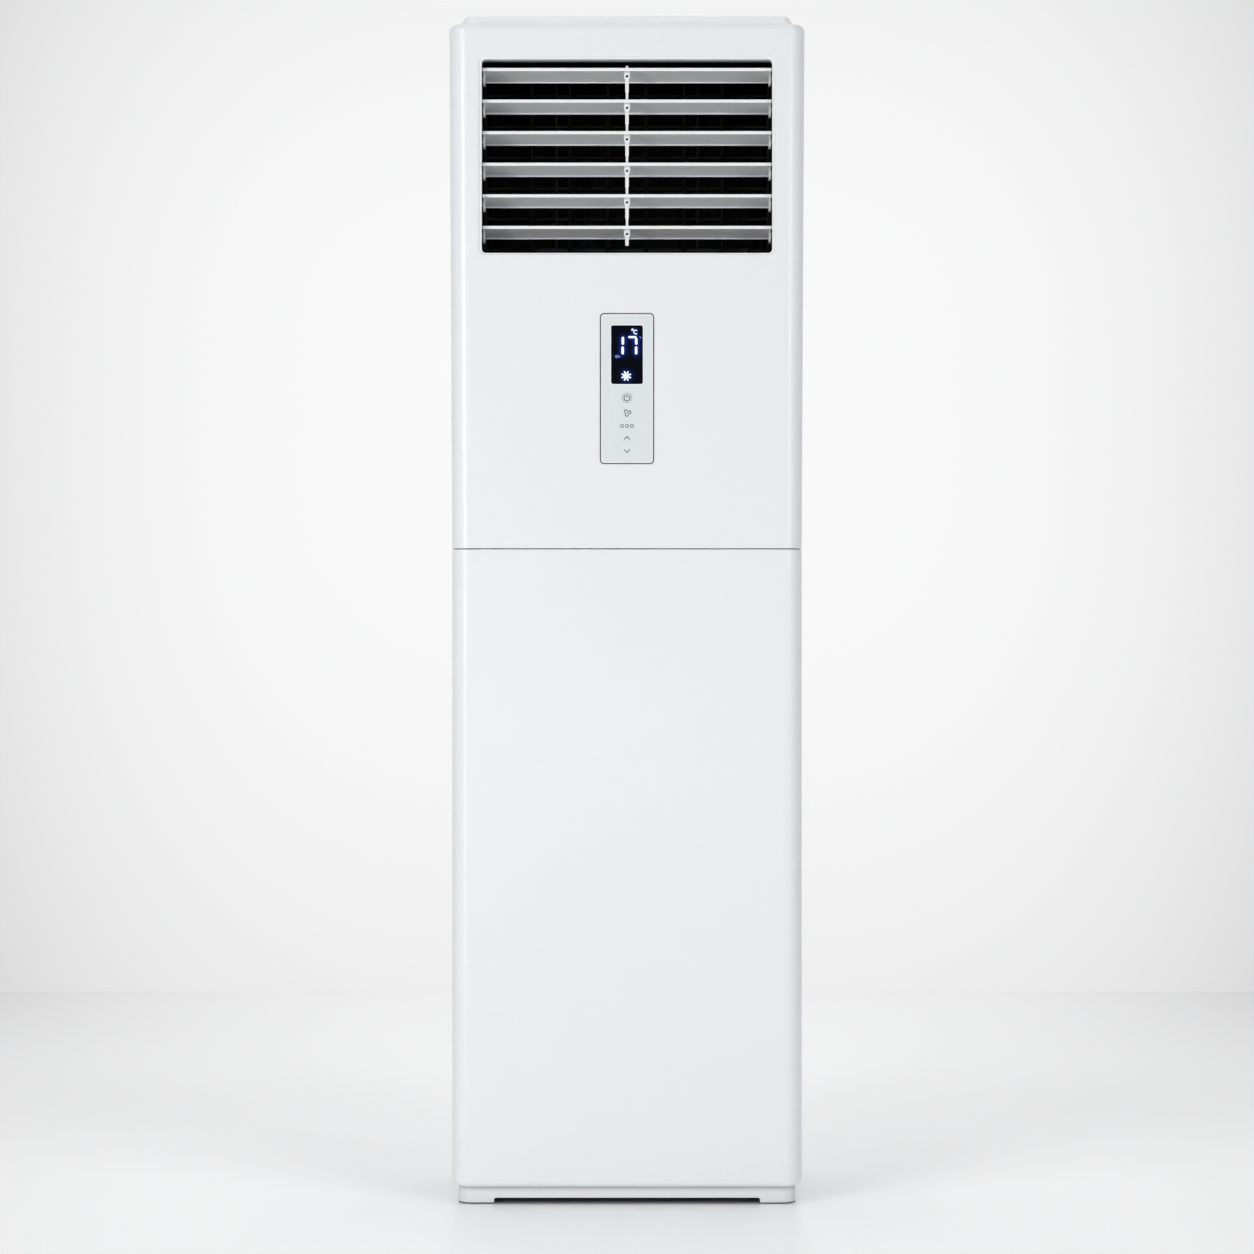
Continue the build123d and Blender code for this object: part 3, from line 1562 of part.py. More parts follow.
# ================================================================== electrics
box_front = side_near + 2 * sheet + fit_gap
box_middle = mid_deck_height - box_height / 2
box_back = box_front + box_depth
tray_floor = box_back - box_wall

with BuildPart() as control_box:
    with BuildSketch(facing(box_back)):
        with Locations((0, box_middle)):
            Rectangle(box_width, box_height)
    extrude(amount=box_depth - box_cover)
    with BuildSketch(facing(tray_floor)):
        with Locations((0, box_middle)):
            Rectangle(box_width - 2 * box_wall, box_height - 2 * box_wall)
    extrude(amount=box_depth, mode=Mode.SUBTRACT)
    with BuildSketch(facing(tray_floor)):
        with Locations((main_board_x, box_middle)):
            with GridLocations(
                main_board_width - 2 * standoff_inset, main_board_height - 2 * standoff_inset, 2, 2
            ):
                Circle(standoff_radius)
    extrude(amount=standoff)
control_box.part.label = "control_box"
export_step(control_box.part, "parts/control_box.step")

with BuildPart() as control_box_cover:
    with BuildSketch(facing(box_front + box_cover)):
        with Locations((0, box_middle)):
            Rectangle(box_width, box_height)
    extrude(amount=box_cover)
control_box_cover.part.label = "control_box_cover"
export_step(control_box_cover.part, "parts/control_box_cover.step")

with BuildPart() as main_board:
    with BuildSketch(facing(tray_floor - standoff)):
        with Locations((main_board_x, box_middle)):
            Rectangle(main_board_width, main_board_height)
    extrude(amount=board_thickness)
main_board.part.label = "main_board"
export_step(main_board.part, "parts/main_board.step")

with BuildPart() as terminal_block:
    terminal_z = mid_deck_height - terminal_drop
    with BuildSketch(facing(tray_floor)):
        with Locations((terminal_x, terminal_z)):
            Rectangle(terminal_width, terminal_height)
    extrude(amount=terminal_depth)
    with BuildSketch(facing(tray_floor - terminal_depth)):
        with Locations((terminal_x, terminal_z)):
            with GridLocations(terminal_width / terminal_ways, 1, terminal_ways, 1):
                Rectangle(terminal_slot, terminal_height - 2 * box_wall)
    extrude(amount=-terminal_slot_depth, mode=Mode.SUBTRACT)
terminal_block.part.label = "terminal_block"
export_step(terminal_block.part, "parts/terminal_block.step")

with BuildPart() as fan_capacitor:
    with BuildSketch(Plane.YZ.offset(terminal_x)):
        with Locations((tray_floor - capacitor_radius, mid_deck_height - capacitor_drop)):
            Circle(capacitor_radius)
        with Locations((tray_floor - capacitor_radius / 2, mid_deck_height - capacitor_drop)):
            Rectangle(capacitor_radius, capacitor_radius)
    extrude(amount=capacitor_length / 2, both=True)
fan_capacitor.part.label = "fan_capacitor"
export_step(fan_capacitor.part, "parts/fan_capacitor.step")
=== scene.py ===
"""Looks of a floor-standing cabinet air conditioner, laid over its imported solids."""

import logging
import math
from dataclasses import dataclass
from enum import Enum
from typing import Callable, Iterable, Sequence

import bmesh
import bpy
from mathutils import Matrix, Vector


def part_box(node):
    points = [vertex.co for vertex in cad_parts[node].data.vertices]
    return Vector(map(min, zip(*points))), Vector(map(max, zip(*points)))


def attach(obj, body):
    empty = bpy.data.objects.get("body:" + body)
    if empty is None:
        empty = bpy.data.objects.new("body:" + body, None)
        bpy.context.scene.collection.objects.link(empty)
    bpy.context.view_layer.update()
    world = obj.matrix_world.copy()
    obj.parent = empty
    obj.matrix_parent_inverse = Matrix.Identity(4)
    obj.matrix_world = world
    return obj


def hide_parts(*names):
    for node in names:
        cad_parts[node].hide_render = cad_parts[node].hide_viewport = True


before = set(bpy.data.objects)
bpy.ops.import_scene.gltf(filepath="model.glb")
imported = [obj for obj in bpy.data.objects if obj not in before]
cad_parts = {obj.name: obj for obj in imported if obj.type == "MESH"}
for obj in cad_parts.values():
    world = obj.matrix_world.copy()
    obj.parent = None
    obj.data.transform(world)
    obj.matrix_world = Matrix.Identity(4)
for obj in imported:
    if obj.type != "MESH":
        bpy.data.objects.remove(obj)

LOG = logging.getLogger("cabinet")
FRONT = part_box("upper_front_panel")[0].y  # the panels' face, the nearest point of the object
Colour = tuple[float, float, float]
Point = tuple[float, float]
Place = tuple[float, float, float]
Socket = bpy.types.NodeSocket
Node = bpy.types.Node
Tree = bpy.types.NodeTree
Mesh = bmesh.types.BMesh
Piece = bpy.types.Object
BLACK: Colour = (0.0, 0.0, 0.0)
FLOAT = "NodeSocketFloat"
COLOUR = "NodeSocketColor"
VECTOR = "NodeSocketVector"
WHOLE = "NodeSocketInt"
FINISH = "NodeSocketMaterial"


class Side(Enum):
    """The two sides of the cabinet, by their sign along X."""

    LEFT = -1
    RIGHT = 1


# ---------------------------------------------------------------- node helpers
def fill(tree: Tree, socket: Socket, value: object) -> None:
    """Gives a socket a value, or links an output to it.

    Args:
        tree: The tree that the socket is in.
        socket: The input socket.
        value: A value, or an output socket.
    """
    if isinstance(value, bpy.types.NodeSocket):
        tree.links.new(value, socket)
    elif isinstance(value, tuple) and socket.type == "RGBA" and len(value) == 3:
        socket.default_value = (*value, 1.0)
    else:
        socket.default_value = value


def feed(tree: Tree, target: Node, **inputs: object) -> None:
    """Fills a node's inputs by name, with "_" for a space."""
    for name, value in inputs.items():
        fill(tree, target.inputs[name.replace("_", " ")], value)


def node(tree: Tree, kind: str, **inputs: object) -> Node:
    """Adds a node and fills its inputs.

    Args:
        tree: The tree that the node goes into.
        kind: The node's type name.
        inputs: Values or output sockets by input name, with "_" for a space.

    Returns:
        The new node.
    """
    made = tree.nodes.new(kind)
    feed(tree, made, **inputs)
    return made


def maths(tree: Tree, operation: str, *values: object, clamp: bool = False) -> Socket:
    """Adds one Math node.

    Args:
        tree: The tree that the node goes into.
        operation: The Math node's operation.
        values: Its inputs, in order.
        clamp: Whether the result stays from 0 to 1.

    Returns:
        The result's socket.
    """
    made = tree.nodes.new("ShaderNodeMath")
    made.operation = operation
    made.use_clamp = clamp
    for socket, value in zip(made.inputs, values):
        fill(tree, socket, value)
    return made.outputs[0]


def vector_maths(tree: Tree, operation: str, *values: object) -> Node:
    """Adds one Vector Math node.

    Args:
        tree: The tree that the node goes into.
        operation: The Vector Math node's operation.
        values: Its vectors, in order.

    Returns:
        The node.
    """
    made = tree.nodes.new("ShaderNodeVectorMath")
    made.operation = operation
    for socket, value in zip(made.inputs, values):
        fill(tree, socket, value)
    return made


def blend_colours(tree: Tree, share: object, first: object, second: object) -> Socket:
    """Mixes two colours.

    Args:
        tree: The tree that the node goes into.
        share: How much of the second colour there is.
        first: The colour at 0.
        second: The colour at 1.

    Returns:
        The mixed colour's socket.
    """
    made = tree.nodes.new("ShaderNodeMix")
    made.data_type = "RGBA"
    fill(tree, made.inputs["Factor"], share)
    fill(tree, made.inputs[6], first)
    fill(tree, made.inputs[7], second)
    return made.outputs[2]


def ramp(tree: Tree, value: Socket, start: float, end: float, top: float = 1.0) -> Socket:
    """Rises evenly from 0, and stays level past both ends.

    Args:
        tree: The tree that the node goes into.
        value: What the ramp follows.
        start: The value at which it leaves 0.
        end: The value at which it reaches its top.
        top: Its top.

    Returns:
        The ramp's socket.
    """
    made = node(tree, "ShaderNodeMapRange", Value=value, From_Min=start, From_Max=end, To_Max=top)
    return made.outputs["Result"]


def ripple(tree: Tree, along: Socket, pitch: object) -> Socket:
    """Waves between 0 and 1, one to each pitch.

    Args:
        tree: The tree that the nodes go into.
        along: Distance across the waves.
        pitch: Distance from one wave to the next.

    Returns:
        The waves' socket.
    """
    turns = maths(tree, "DIVIDE", along, pitch)
    wave = maths(tree, "SINE", maths(tree, "MULTIPLY", turns, 2 * math.pi))
    return maths(tree, "MULTIPLY_ADD", wave, 0.5, 0.5)


def object_place(tree: Tree) -> Socket:
    """Place on the object, in metres."""
    return node(tree, "ShaderNodeTexCoord").outputs["Object"]


def place_parts(tree: Tree) -> bpy.types.NodeOutputs:
    """X, Y and Z of the place on the object."""
    return node(tree, "ShaderNodeSeparateXYZ", Vector=object_place(tree)).outputs


def shader_group(
    name: str,
    inputs: Sequence[tuple[str, str, object]],
    outputs: Sequence[str | tuple[str, str]],
    body: Callable[[Tree, Node, Node], None],
) -> Tree:
    """Builds a shared shader group once.

    Args:
        name: The group's name.
        inputs: Name, socket kind and default of each input.
        outputs: Name of each output, with its socket kind unless that is a number.
        body: Fills the tree between the two group nodes.

    Returns:
        The group's tree.
    """
    tree = bpy.data.node_groups.new(name, "ShaderNodeTree")
    for label, kind, default in inputs:
        socket = tree.interface.new_socket(label, in_out="INPUT", socket_type=kind)
        socket.default_value = default
    for output in outputs:
        label, kind = (output, FLOAT) if isinstance(output, str) else output
        tree.interface.new_socket(label, in_out="OUTPUT", socket_type=kind)
    body(tree, tree.nodes.new("NodeGroupInput"), tree.nodes.new("NodeGroupOutput"))
    return tree


# ---------------------------------------------------------------- shared effects
DUST_COLOUR: Colour = (0.42, 0.4, 0.37)
CRYSTAL_BENDS = 60.0  # bends per metre in the edges of the zinc crystals
CRYSTAL_BEND = 0.012  # how far an edge bends, in metres


def _grain_body(tree: Tree, given: Node, result: Node) -> None:
    """Fine skin of a moulding or of powder coat, with a slow waviness under it.

    Args:
        tree: The group's tree.
        given: The group's inputs.
        result: The group's outputs.
    """
    place = object_place(tree)
    fine = node(tree, "ShaderNodeTexNoise", Vector=place, Scale=given.outputs["Scale"], Detail=2.0)
    slow = node(tree, "ShaderNodeTexNoise", Vector=place, Scale=given.outputs["Wave Scale"])
    rough = maths(tree, "MULTIPLY", fine.outputs["Fac"], given.outputs["Depth"])
    wave = maths(tree, "MULTIPLY", slow.outputs["Fac"], given.outputs["Wave Depth"])
    feed(tree, result, Height=maths(tree, "ADD", rough, wave), Fleck=fine.outputs["Fac"])


def _drift_body(tree: Tree, given: Node, result: Node) -> None:
    """Slow change of tone over a surface, and dust that thickens towards the floor.

    Args:
        tree: The group's tree.
        given: The group's inputs.
        result: The group's outputs.
    """
    place = object_place(tree)
    cloud = node(tree, "ShaderNodeTexNoise", Vector=place, Scale=given.outputs["Scale"], Detail=3.0)
    height = node(tree, "ShaderNodeSeparateXYZ", Vector=place).outputs["Z"]
    low = maths(tree, "SUBTRACT", 1.0, maths(tree, "DIVIDE", height, given.outputs["Dust Height"]))
    low = maths(tree, "MAXIMUM", low, 0.0)
    dust = maths(tree, "MULTIPLY", low, maths(tree, "MULTIPLY", cloud.outputs["Fac"], 2.0))
    dust = maths(tree, "MULTIPLY", dust, given.outputs["Dust"], clamp=True)
    tone = maths(tree, "SUBTRACT", cloud.outputs["Fac"], 0.5)
    tone = maths(tree, "MULTIPLY_ADD", tone, given.outputs["Drift"], 1.0)
    shade = node(tree, "ShaderNodeHueSaturation", Color=given.outputs["Colour"], Value=tone)
    colour = blend_colours(tree, dust, shade.outputs["Color"], DUST_COLOUR)
    feed(tree, result, Colour=colour, Dust=dust)


def _stripe_body(tree: Tree, given: Node, result: Node) -> None:
    """Ridges across one direction: fins, ribs or brush strokes.

    Args:
        tree: The group's tree.
        given: The group's inputs.
        result: The group's outputs.
    """
    along = vector_maths(tree, "DOT_PRODUCT", object_place(tree), given.outputs["Direction"])
    ridge = ripple(tree, along.outputs["Value"], given.outputs["Pitch"])
    feed(tree, result, Ridge=maths(tree, "POWER", ridge, given.outputs["Sharpness"]))


def _spangle_body(tree: Tree, given: Node, result: Node) -> None:
    """Zinc crystals of galvanised sheet.

    Args:
        tree: The group's tree.
        given: The group's inputs.
        result: The group's outputs.
    """
    place = object_place(tree)
    bent = node(tree, "ShaderNodeTexNoise", Vector=place, Scale=CRYSTAL_BENDS)
    nudge = vector_maths(tree, "SCALE", bent.outputs["Color"])
    nudge.inputs["Scale"].default_value = CRYSTAL_BEND
    moved = vector_maths(tree, "ADD", place, nudge.outputs["Vector"]).outputs["Vector"]
    cells = node(tree, "ShaderNodeTexVoronoi", Vector=moved, Scale=given.outputs["Scale"])
    level = node(tree, "ShaderNodeSeparateColor", Color=cells.outputs["Color"])
    feed(tree, result, Crystal=level.outputs[0])


def _weave_body(tree: Tree, given: Node, result: Node) -> None:
    """Open weave seen from the side: threads along Y and along Z.

    Args:
        tree: The group's tree.
        given: The group's inputs.
        result: The group's outputs.
    """
    parts = place_parts(tree)
    threads = [ripple(tree, parts[name], given.outputs["Pitch"]) for name in ("Y", "Z")]
    feed(tree, result, Thread=maths(tree, "MAXIMUM", *threads))


def _spot_body(tree: Tree, given: Node, result: Node) -> None:
    """Soft round spot, as light that spreads inside a window.

    Args:
        tree: The group's tree.
        given: The group's inputs.
        result: The group's outputs.
    """
    away = vector_maths(tree, "SUBTRACT", object_place(tree), given.outputs["Centre"])
    scaled = vector_maths(tree, "DIVIDE", away.outputs["Vector"], given.outputs["Reach"])
    far = vector_maths(tree, "LENGTH", scaled.outputs["Vector"])
    near = maths(tree, "SUBTRACT", 1.0, far.outputs["Value"], clamp=True)
    feed(tree, result, Glow=maths(tree, "POWER", near, 2.0))


GRAIN = shader_group(
    "fine grain",
    [
        ("Scale", FLOAT, 900.0),
        ("Depth", FLOAT, 1.0),
        ("Wave Scale", FLOAT, 6.0),
        ("Wave Depth", FLOAT, 0.0),
    ],
    ["Height", "Fleck"],
    _grain_body,
)
DRIFT = shader_group(
    "tone drift",
    [
        ("Colour", COLOUR, (1, 1, 1, 1)),
        ("Scale", FLOAT, 2.0),
        ("Drift", FLOAT, 0.02),
        ("Dust", FLOAT, 0.0),
        ("Dust Height", FLOAT, 0.1),
    ],
    [("Colour", COLOUR), "Dust"],
    _drift_body,
)
STRIPES = shader_group(
    "ridges",
    [("Direction", VECTOR, (1, 0, 0)), ("Pitch", FLOAT, 0.002), ("Sharpness", FLOAT, 1.0)],
    ["Ridge"],
    _stripe_body,
)
SPANGLE = shader_group("zinc crystals", [("Scale", FLOAT, 120.0)], ["Crystal"], _spangle_body)
WEAVE = shader_group("open weave", [("Pitch", FLOAT, 0.0016)], ["Thread"], _weave_body)
SPOT = shader_group(
    "soft spot",
    [("Centre", VECTOR, (0, 0, 0)), ("Reach", VECTOR, (1, 1, 1))],
    ["Glow"],
    _spot_body,
)


def placed(tree: Tree, group: Tree, **inputs: object) -> bpy.types.NodeOutputs:
    """Places a shared group in a material.

    Args:
        tree: The material's tree.
        group: The group.
        inputs: Its inputs by name, with "_" for a space.

    Returns:
        The group's outputs.
    """
    made = tree.nodes.new("ShaderNodeGroup")
    made.node_tree = group
    feed(tree, made, **inputs)
    return made.outputs


def blank_material(name: str) -> tuple[bpy.types.Material, Tree, Node]:
    """Makes a material with an empty Principled shader.

    Args:
        name: The material's name.

    Returns:
        The material, its tree and the shader node.
    """
    material = bpy.data.materials.new(name)
    material.use_nodes = True
    return material, material.node_tree, material.node_tree.nodes["Principled BSDF"]


def bump(tree: Tree, shader: Node, height: Socket, distance: float, strength: float = 1.0) -> None:
    """Feeds a height through one Bump node into the shader's normal."""
    made = node(tree, "ShaderNodeBump", Height=height, Distance=distance, Strength=strength)
    feed(tree, shader, Normal=made.outputs["Normal"])


# ---------------------------------------------------------------- finishes
FLECK_ROUGHNESS = 0.12  # roughness from the smoothest grain to the roughest
DUST_ROUGHNESS = 0.3  # roughness that thick dust adds
COAT_ROUGHNESS = 0.08


@dataclass(frozen=True)
class Moulding:
    """Moulded plastic, foam or rubber with a fine grain.

    Attributes:
        name: The material's name.
        colour: Its colour, linear.
        roughness: Mean roughness.
        grain: Grains per metre.
        depth: Height of the grain, in metres.
        wave: Height of the slow waviness, in metres.
        drift: How much the tone drifts.
        dust: How much dust lies low on it.
        coat: Weight of a clear gloss over it.
        shine: Specular level, lower on dull black.
    """

    name: str
    colour: Colour
    roughness: float
    grain: float = 1400.0
    depth: float = 0.00003
    wave: float = 0.0
    drift: float = 0.02
    dust: float = 0.0
    coat: float = 0.0
    shine: float = 0.5

    def material(self) -> bpy.types.Material:
        """Builds the material.

        Returns:
            The material.
        """
        material, tree, shader = blank_material(self.name)
        drift = placed(tree, DRIFT, Colour=self.colour, Drift=self.drift, Dust=self.dust)
        grain = placed(tree, GRAIN, Scale=self.grain, Wave_Depth=self.wave / self.depth)
        smoothest = self.roughness - FLECK_ROUGHNESS / 2
        rough = maths(tree, "MULTIPLY_ADD", grain["Fleck"], FLECK_ROUGHNESS, smoothest)
        feed(
            tree,
            shader,
            Base_Color=self.tone(tree, drift["Colour"]),
            Roughness=maths(tree, "MULTIPLY_ADD", drift["Dust"], DUST_ROUGHNESS, rough, clamp=True),
            Coat_Weight=self.coat,
            Coat_Roughness=COAT_ROUGHNESS,
            Specular_IOR_Level=self.shine,
        )
        bump(tree, shader, grain["Height"], self.depth)
        return material

    def tone(self, tree: Tree, plain: Socket) -> Socket:
        """The colour as it is, which some mouldings change from place to place."""
        return plain


@dataclass(frozen=True)
class ShadePaintedMoulding(Moulding):
    """Moulded plastic with painted shade: a contact shadow along its foot, and shade under a
    panel's foot.

    Attributes:
        painted_contact_shadow: Height of the painted contact shadow along the lowest edge.
        contact_shadow_colour: Colour of the painted contact shadow.
        overhang: Height at which the panel's foot covers it.
        fade: How far the shade reaches down from there.
        shade: How dark the shade is.
        covered_to: Y at which the overhanging panel ends.
    """

    painted_contact_shadow: float = 0.0016
    contact_shadow_colour: Colour = (0.006, 0.006, 0.006)
    overhang: float = 0.0255
    fade: float = 0.0125
    shade: float = 0.5
    covered_to: float = -0.0625

    def tone(self, tree: Tree, plain: Socket) -> Socket:
        """Paints shade: a contact shadow along the foot, and shade under the panel's foot.

        Args:
            tree: The material's tree.
            plain: The moulding's plain colour.

        Returns:
            The darkened colour.
        """
        parts = place_parts(tree)
        # painted shade under the panel's overhanging foot, deepest just under it
        near = ramp(tree, parts["Z"], self.overhang - self.fade, self.overhang)
        below = maths(tree, "LESS_THAN", parts["Z"], self.overhang)
        covered = maths(tree, "LESS_THAN", parts["Y"], self.covered_to)
        depth = maths(tree, "MULTIPLY", maths(tree, "POWER", near, 2.0), self.shade)
        depth = maths(tree, "MULTIPLY", depth, maths(tree, "MULTIPLY", below, covered))
        shaded = blend_colours(tree, depth, plain, BLACK)
        # painted contact shadow: a near-black band along the lowest edge
        painted_contact_shadow = maths(tree, "LESS_THAN", parts["Z"], self.painted_contact_shadow)
        return blend_colours(tree, painted_contact_shadow, shaded, self.contact_shadow_colour)


@dataclass(frozen=True)
class RecessShadedMoulding(Moulding):
    """Moulded plastic with painted shade that deepens to black inside, from some way behind its
    front.

    Attributes:
        white_to: Y at which the painted shade starts.
        black_from: Y from which the painted shade is black.
        recess_shade_colour: Colour of the painted shade.
    """

    white_to: float = -0.137
    black_from: float = -0.117
    recess_shade_colour: Colour = (0.002, 0.002, 0.0022)

    def tone(self, tree: Tree, plain: Socket) -> Socket:
        """Fades the colour into painted shade, black behind the front.

        Args:
            tree: The material's tree.
            plain: The moulding's plain colour.

        Returns:
            The faded colour.
        """
        # painted shade inside the outlet, deepening towards the back
        deep = ramp(tree, place_parts(tree)["Y"], self.white_to, self.black_from)
        return blend_colours(tree, deep, plain, self.recess_shade_colour)


@dataclass(frozen=True)
class Metal:
    """Bare or plated metal with fine brush strokes.

    Attributes:
        name: The material's name.
        colour: Its colour, linear.
        stain: A second colour that it takes in places.
        roughness: Mean roughness.
        strokes: Direction across the brush strokes.
        metallic: How metallic it is.
        pitch: Distance between strokes, in metres.
        blotches: Stains per metre.
        spread: Roughness from the smoothest place to the roughest.
    """

    name: str
    colour: Colour
    stain: Colour
    roughness: float
    strokes: Place = (0.0, 0.0, 1.0)
    metallic: float = 1.0
    pitch: float = 0.0012
    blotches: float = 35.0
    spread: float = 0.2

    def material(self) -> bpy.types.Material:
        """Builds the material.

        Returns:
            The material.
        """
        material, tree, shader = blank_material(self.name)
        fleck = placed(tree, GRAIN, Scale=self.blotches)["Fleck"]
        ridges = placed(tree, STRIPES, Direction=self.strokes, Pitch=self.pitch)
        smoothest = self.roughness - self.spread / 2
        feed(
            tree,
            shader,
            Base_Color=blend_colours(tree, fleck, self.colour, self.stain),
            Roughness=maths(tree, "MULTIPLY_ADD", fleck, self.spread, smoothest),
            Metallic=self.metallic,
        )
        bump(tree, shader, ridges["Ridge"], 0.00002, 0.5)
        return material


@dataclass(frozen=True)
class Galvanised:
    """Galvanised sheet with its zinc crystals.

    Attributes:
        name: The material's name.
        light: The lightest crystal.
        dark: The darkest crystal.
        crystals: Crystals per metre.
        smoothest: Roughness of the lightest crystal.
        spread: Roughness that the darkest one has more.
        metallic: How metallic it is.
    """

    name: str = "galvanised sheet"
    light: Colour = (0.62, 0.63, 0.64)
    dark: Colour = (0.42, 0.43, 0.45)
    crystals: float = 110.0
    smoothest: float = 0.3
    spread: float = 0.22
    metallic: float = 0.85

    def material(self) -> bpy.types.Material:
        """Builds the material.

        Returns:
            The material.
        """
        material, tree, shader = blank_material(self.name)
        crystal = placed(tree, SPANGLE, Scale=self.crystals)["Crystal"]
        feed(
            tree,
            shader,
            Base_Color=blend_colours(tree, crystal, self.light, self.dark),
            Roughness=maths(tree, "MULTIPLY_ADD", crystal, self.spread, self.smoothest),
            Metallic=self.metallic,
        )
        bump(tree, shader, crystal, 0.00001, 0.4)
        return material


@dataclass(frozen=True)
class Fins:
    """Thin aluminium fins, with painted shade in the gaps between them.

    Attributes:
        name: The material's name.
        light: Colour of a fin's edge.
        gap: Colour of the painted shade between the fins.
        pitch: Distance between fins, in metres.
        sharpness: How narrow the gaps are.
        roughness: Roughness of the metal.
        metallic: How metallic it is.
    """

    name: str = "coil fins"
    light: Colour = (0.68, 0.7, 0.72)
    gap: Colour = (0.08, 0.09, 0.1)
    pitch: float = 0.0036
    sharpness: float = 0.6
    roughness: float = 0.42
    metallic: float = 0.7

    def material(self) -> bpy.types.Material:
        """Builds the material.

        Returns:
            The material.
        """
        material, tree, shader = blank_material(self.name)
        ridge = placed(tree, STRIPES, Pitch=self.pitch, Sharpness=self.sharpness)["Ridge"]
        # painted shade in the gaps between the fins
        feed(
            tree,
            shader,
            Base_Color=blend_colours(tree, ridge, self.gap, self.light),
            Roughness=self.roughness,
            Metallic=self.metallic,
        )
        bump(tree, shader, ridge, 0.0012, 0.8)
        return material


@dataclass(frozen=True)
class Ribbed:
    """Corrugated hose, ribbed along its length, with painted shade that halves its brightness
    between the ribs.

    Attributes:
        name: The material's name.
        colour: Colour of a rib.
        along: Direction across the ribs.
        pitch: Distance between ribs, in metres.
        roughness: Roughness of the hose.
    """

    name: str = "ribbed hose"
    colour: Colour = (0.4, 0.41, 0.42)
    along: Place = (0.0, 1.0, 1.0)
    pitch: float = 0.005
    roughness: float = 0.55

    def material(self) -> bpy.types.Material:
        """Builds the material.

        Returns:
            The material.
        """
        material, tree, shader = blank_material(self.name)
        ridge = placed(tree, STRIPES, Direction=self.along, Pitch=self.pitch)["Ridge"]
        # painted shade between the ribs: half the rib colour
        between = tuple(0.5 * level for level in self.colour)
        feed(
            tree,
            shader,
            Base_Color=blend_colours(tree, ridge, between, self.colour),
            Roughness=self.roughness,
        )
        bump(tree, shader, ridge, 0.0015)
        return material


@dataclass(frozen=True)
class Woven:
    """Filter mesh: fine threads with open gaps.

    Attributes:
        name: The material's name.
        thread: Colour of a thread.
        gap: Colour between threads.
        pitch: Distance between threads, in metres.
        roughness: Roughness of the threads.
    """

    name: str = "filter mesh"
    thread: Colour = (0.1, 0.11, 0.12)
    gap: Colour = (0.02, 0.02, 0.022)
    pitch: float = 0.0018
    roughness: float = 0.75

    def material(self) -> bpy.types.Material:
        """Builds the material.

        Returns:
            The material.
        """
        material, tree, shader = blank_material(self.name)
        thread = placed(tree, WEAVE, Pitch=self.pitch)["Thread"]
        feed(
            tree,
            shader,
            Base_Color=blend_colours(tree, thread, self.gap, self.thread),
            Roughness=self.roughness,
        )
        bump(tree, shader, thread, 0.0003, 0.8)
        return material


@dataclass(frozen=True)
class Board:
    """Circuit board: green mask over paler copper runs.

    Attributes:
        name: The material's name.
        mask: Colour of the mask.
        run: Colour over a copper run.
        cells: Fields of runs per metre.
        width: How wide the runs are, of a cell.
        roughness: Roughness of the mask.
    """

    name: str = "circuit board"
    mask: Colour = (0.01, 0.09, 0.035)
    run: Colour = (0.05, 0.2, 0.08)
    cells: float = 260.0
    width: float = 0.28
    roughness: float = 0.32

    def material(self) -> bpy.types.Material:
        """Builds the material.

        Returns:
            The material.
        """
        material, tree, shader = blank_material(self.name)
        field = node(tree, "ShaderNodeTexVoronoi", Vector=object_place(tree), Scale=self.cells)
        field.distance = "CHEBYCHEV"
        line = maths(tree, "LESS_THAN", field.outputs["Distance"], self.width)
        feed(
            tree,
            shader,
            Base_Color=blend_colours(tree, line, self.mask, self.run),
            Roughness=self.roughness,
        )
        bump(tree, shader, line, 0.00004, 0.6)
        return material


@dataclass(frozen=True)
class DisplayGlass:
    """Dark window that its lit figures tint blue from inside.

    Attributes:
        name: The material's name.
        colour: The dark window.
        unlit: The light of the window away from its figures.
        tint: The light that spreads in it.
        strength: Strength of both.
        shine: Specular level.
        grain: Grains per metre.
        roughness: Roughness of the smoothest grain.
        spread: Roughness that the roughest grain has more.
        glows: Centre and reach of the glow round each lit stroke.
    """

    name: str = "display window"
    colour: Colour = (0.0012, 0.0016, 0.004)
    unlit: Colour = (0.0004, 0.0007, 0.0026)
    tint: Colour = (0.012, 0.04, 0.36)
    strength: float = 0.9
    shine: float = 0.03
    grain: float = 700.0
    roughness: float = 0.2
    spread: float = 0.06
    glows: tuple[tuple[Point, Point], ...] = (
        ((-0.0060, 1.2497), (0.0105, 0.0145)),
        ((-0.0063, 1.2357), (0.0105, 0.0145)),
        ((0.0134, 1.2497), (0.0105, 0.0145)),
        ((0.0132, 1.2357), (0.0105, 0.0145)),
        ((0.0078, 1.2549), (0.0125, 0.0080)),
        ((0.0108, 1.2634), (0.0085, 0.0075)),
        ((-0.0011, 1.1988), (0.0150, 0.0150)),
        ((-0.0138, 1.2274), (0.0080, 0.0050)),
    )

    def material(self) -> bpy.types.Material:
        """Builds the material.

        Returns:
            The material.
        """
        material, tree, shader = blank_material(self.name)
        light: object = 0.0
        for (x, z), (reach_x, reach_z) in self.glows:
            spot = placed(tree, SPOT, Centre=(x, FRONT, z), Reach=(reach_x, 1.0, reach_z))
            light = maths(tree, "ADD", spot["Glow"], light, clamp=True)
        grain = placed(tree, GRAIN, Scale=self.grain)
        feed(
            tree,
            shader,
            Base_Color=self.colour,
            Roughness=maths(tree, "MULTIPLY_ADD", grain["Fleck"], self.spread, self.roughness),
            Specular_IOR_Level=self.shine,
            Emission_Color=blend_colours(tree, light, self.unlit, self.tint),
            Emission_Strength=self.strength,
        )
        bump(tree, shader, grain["Height"], 0.000004)
        return material


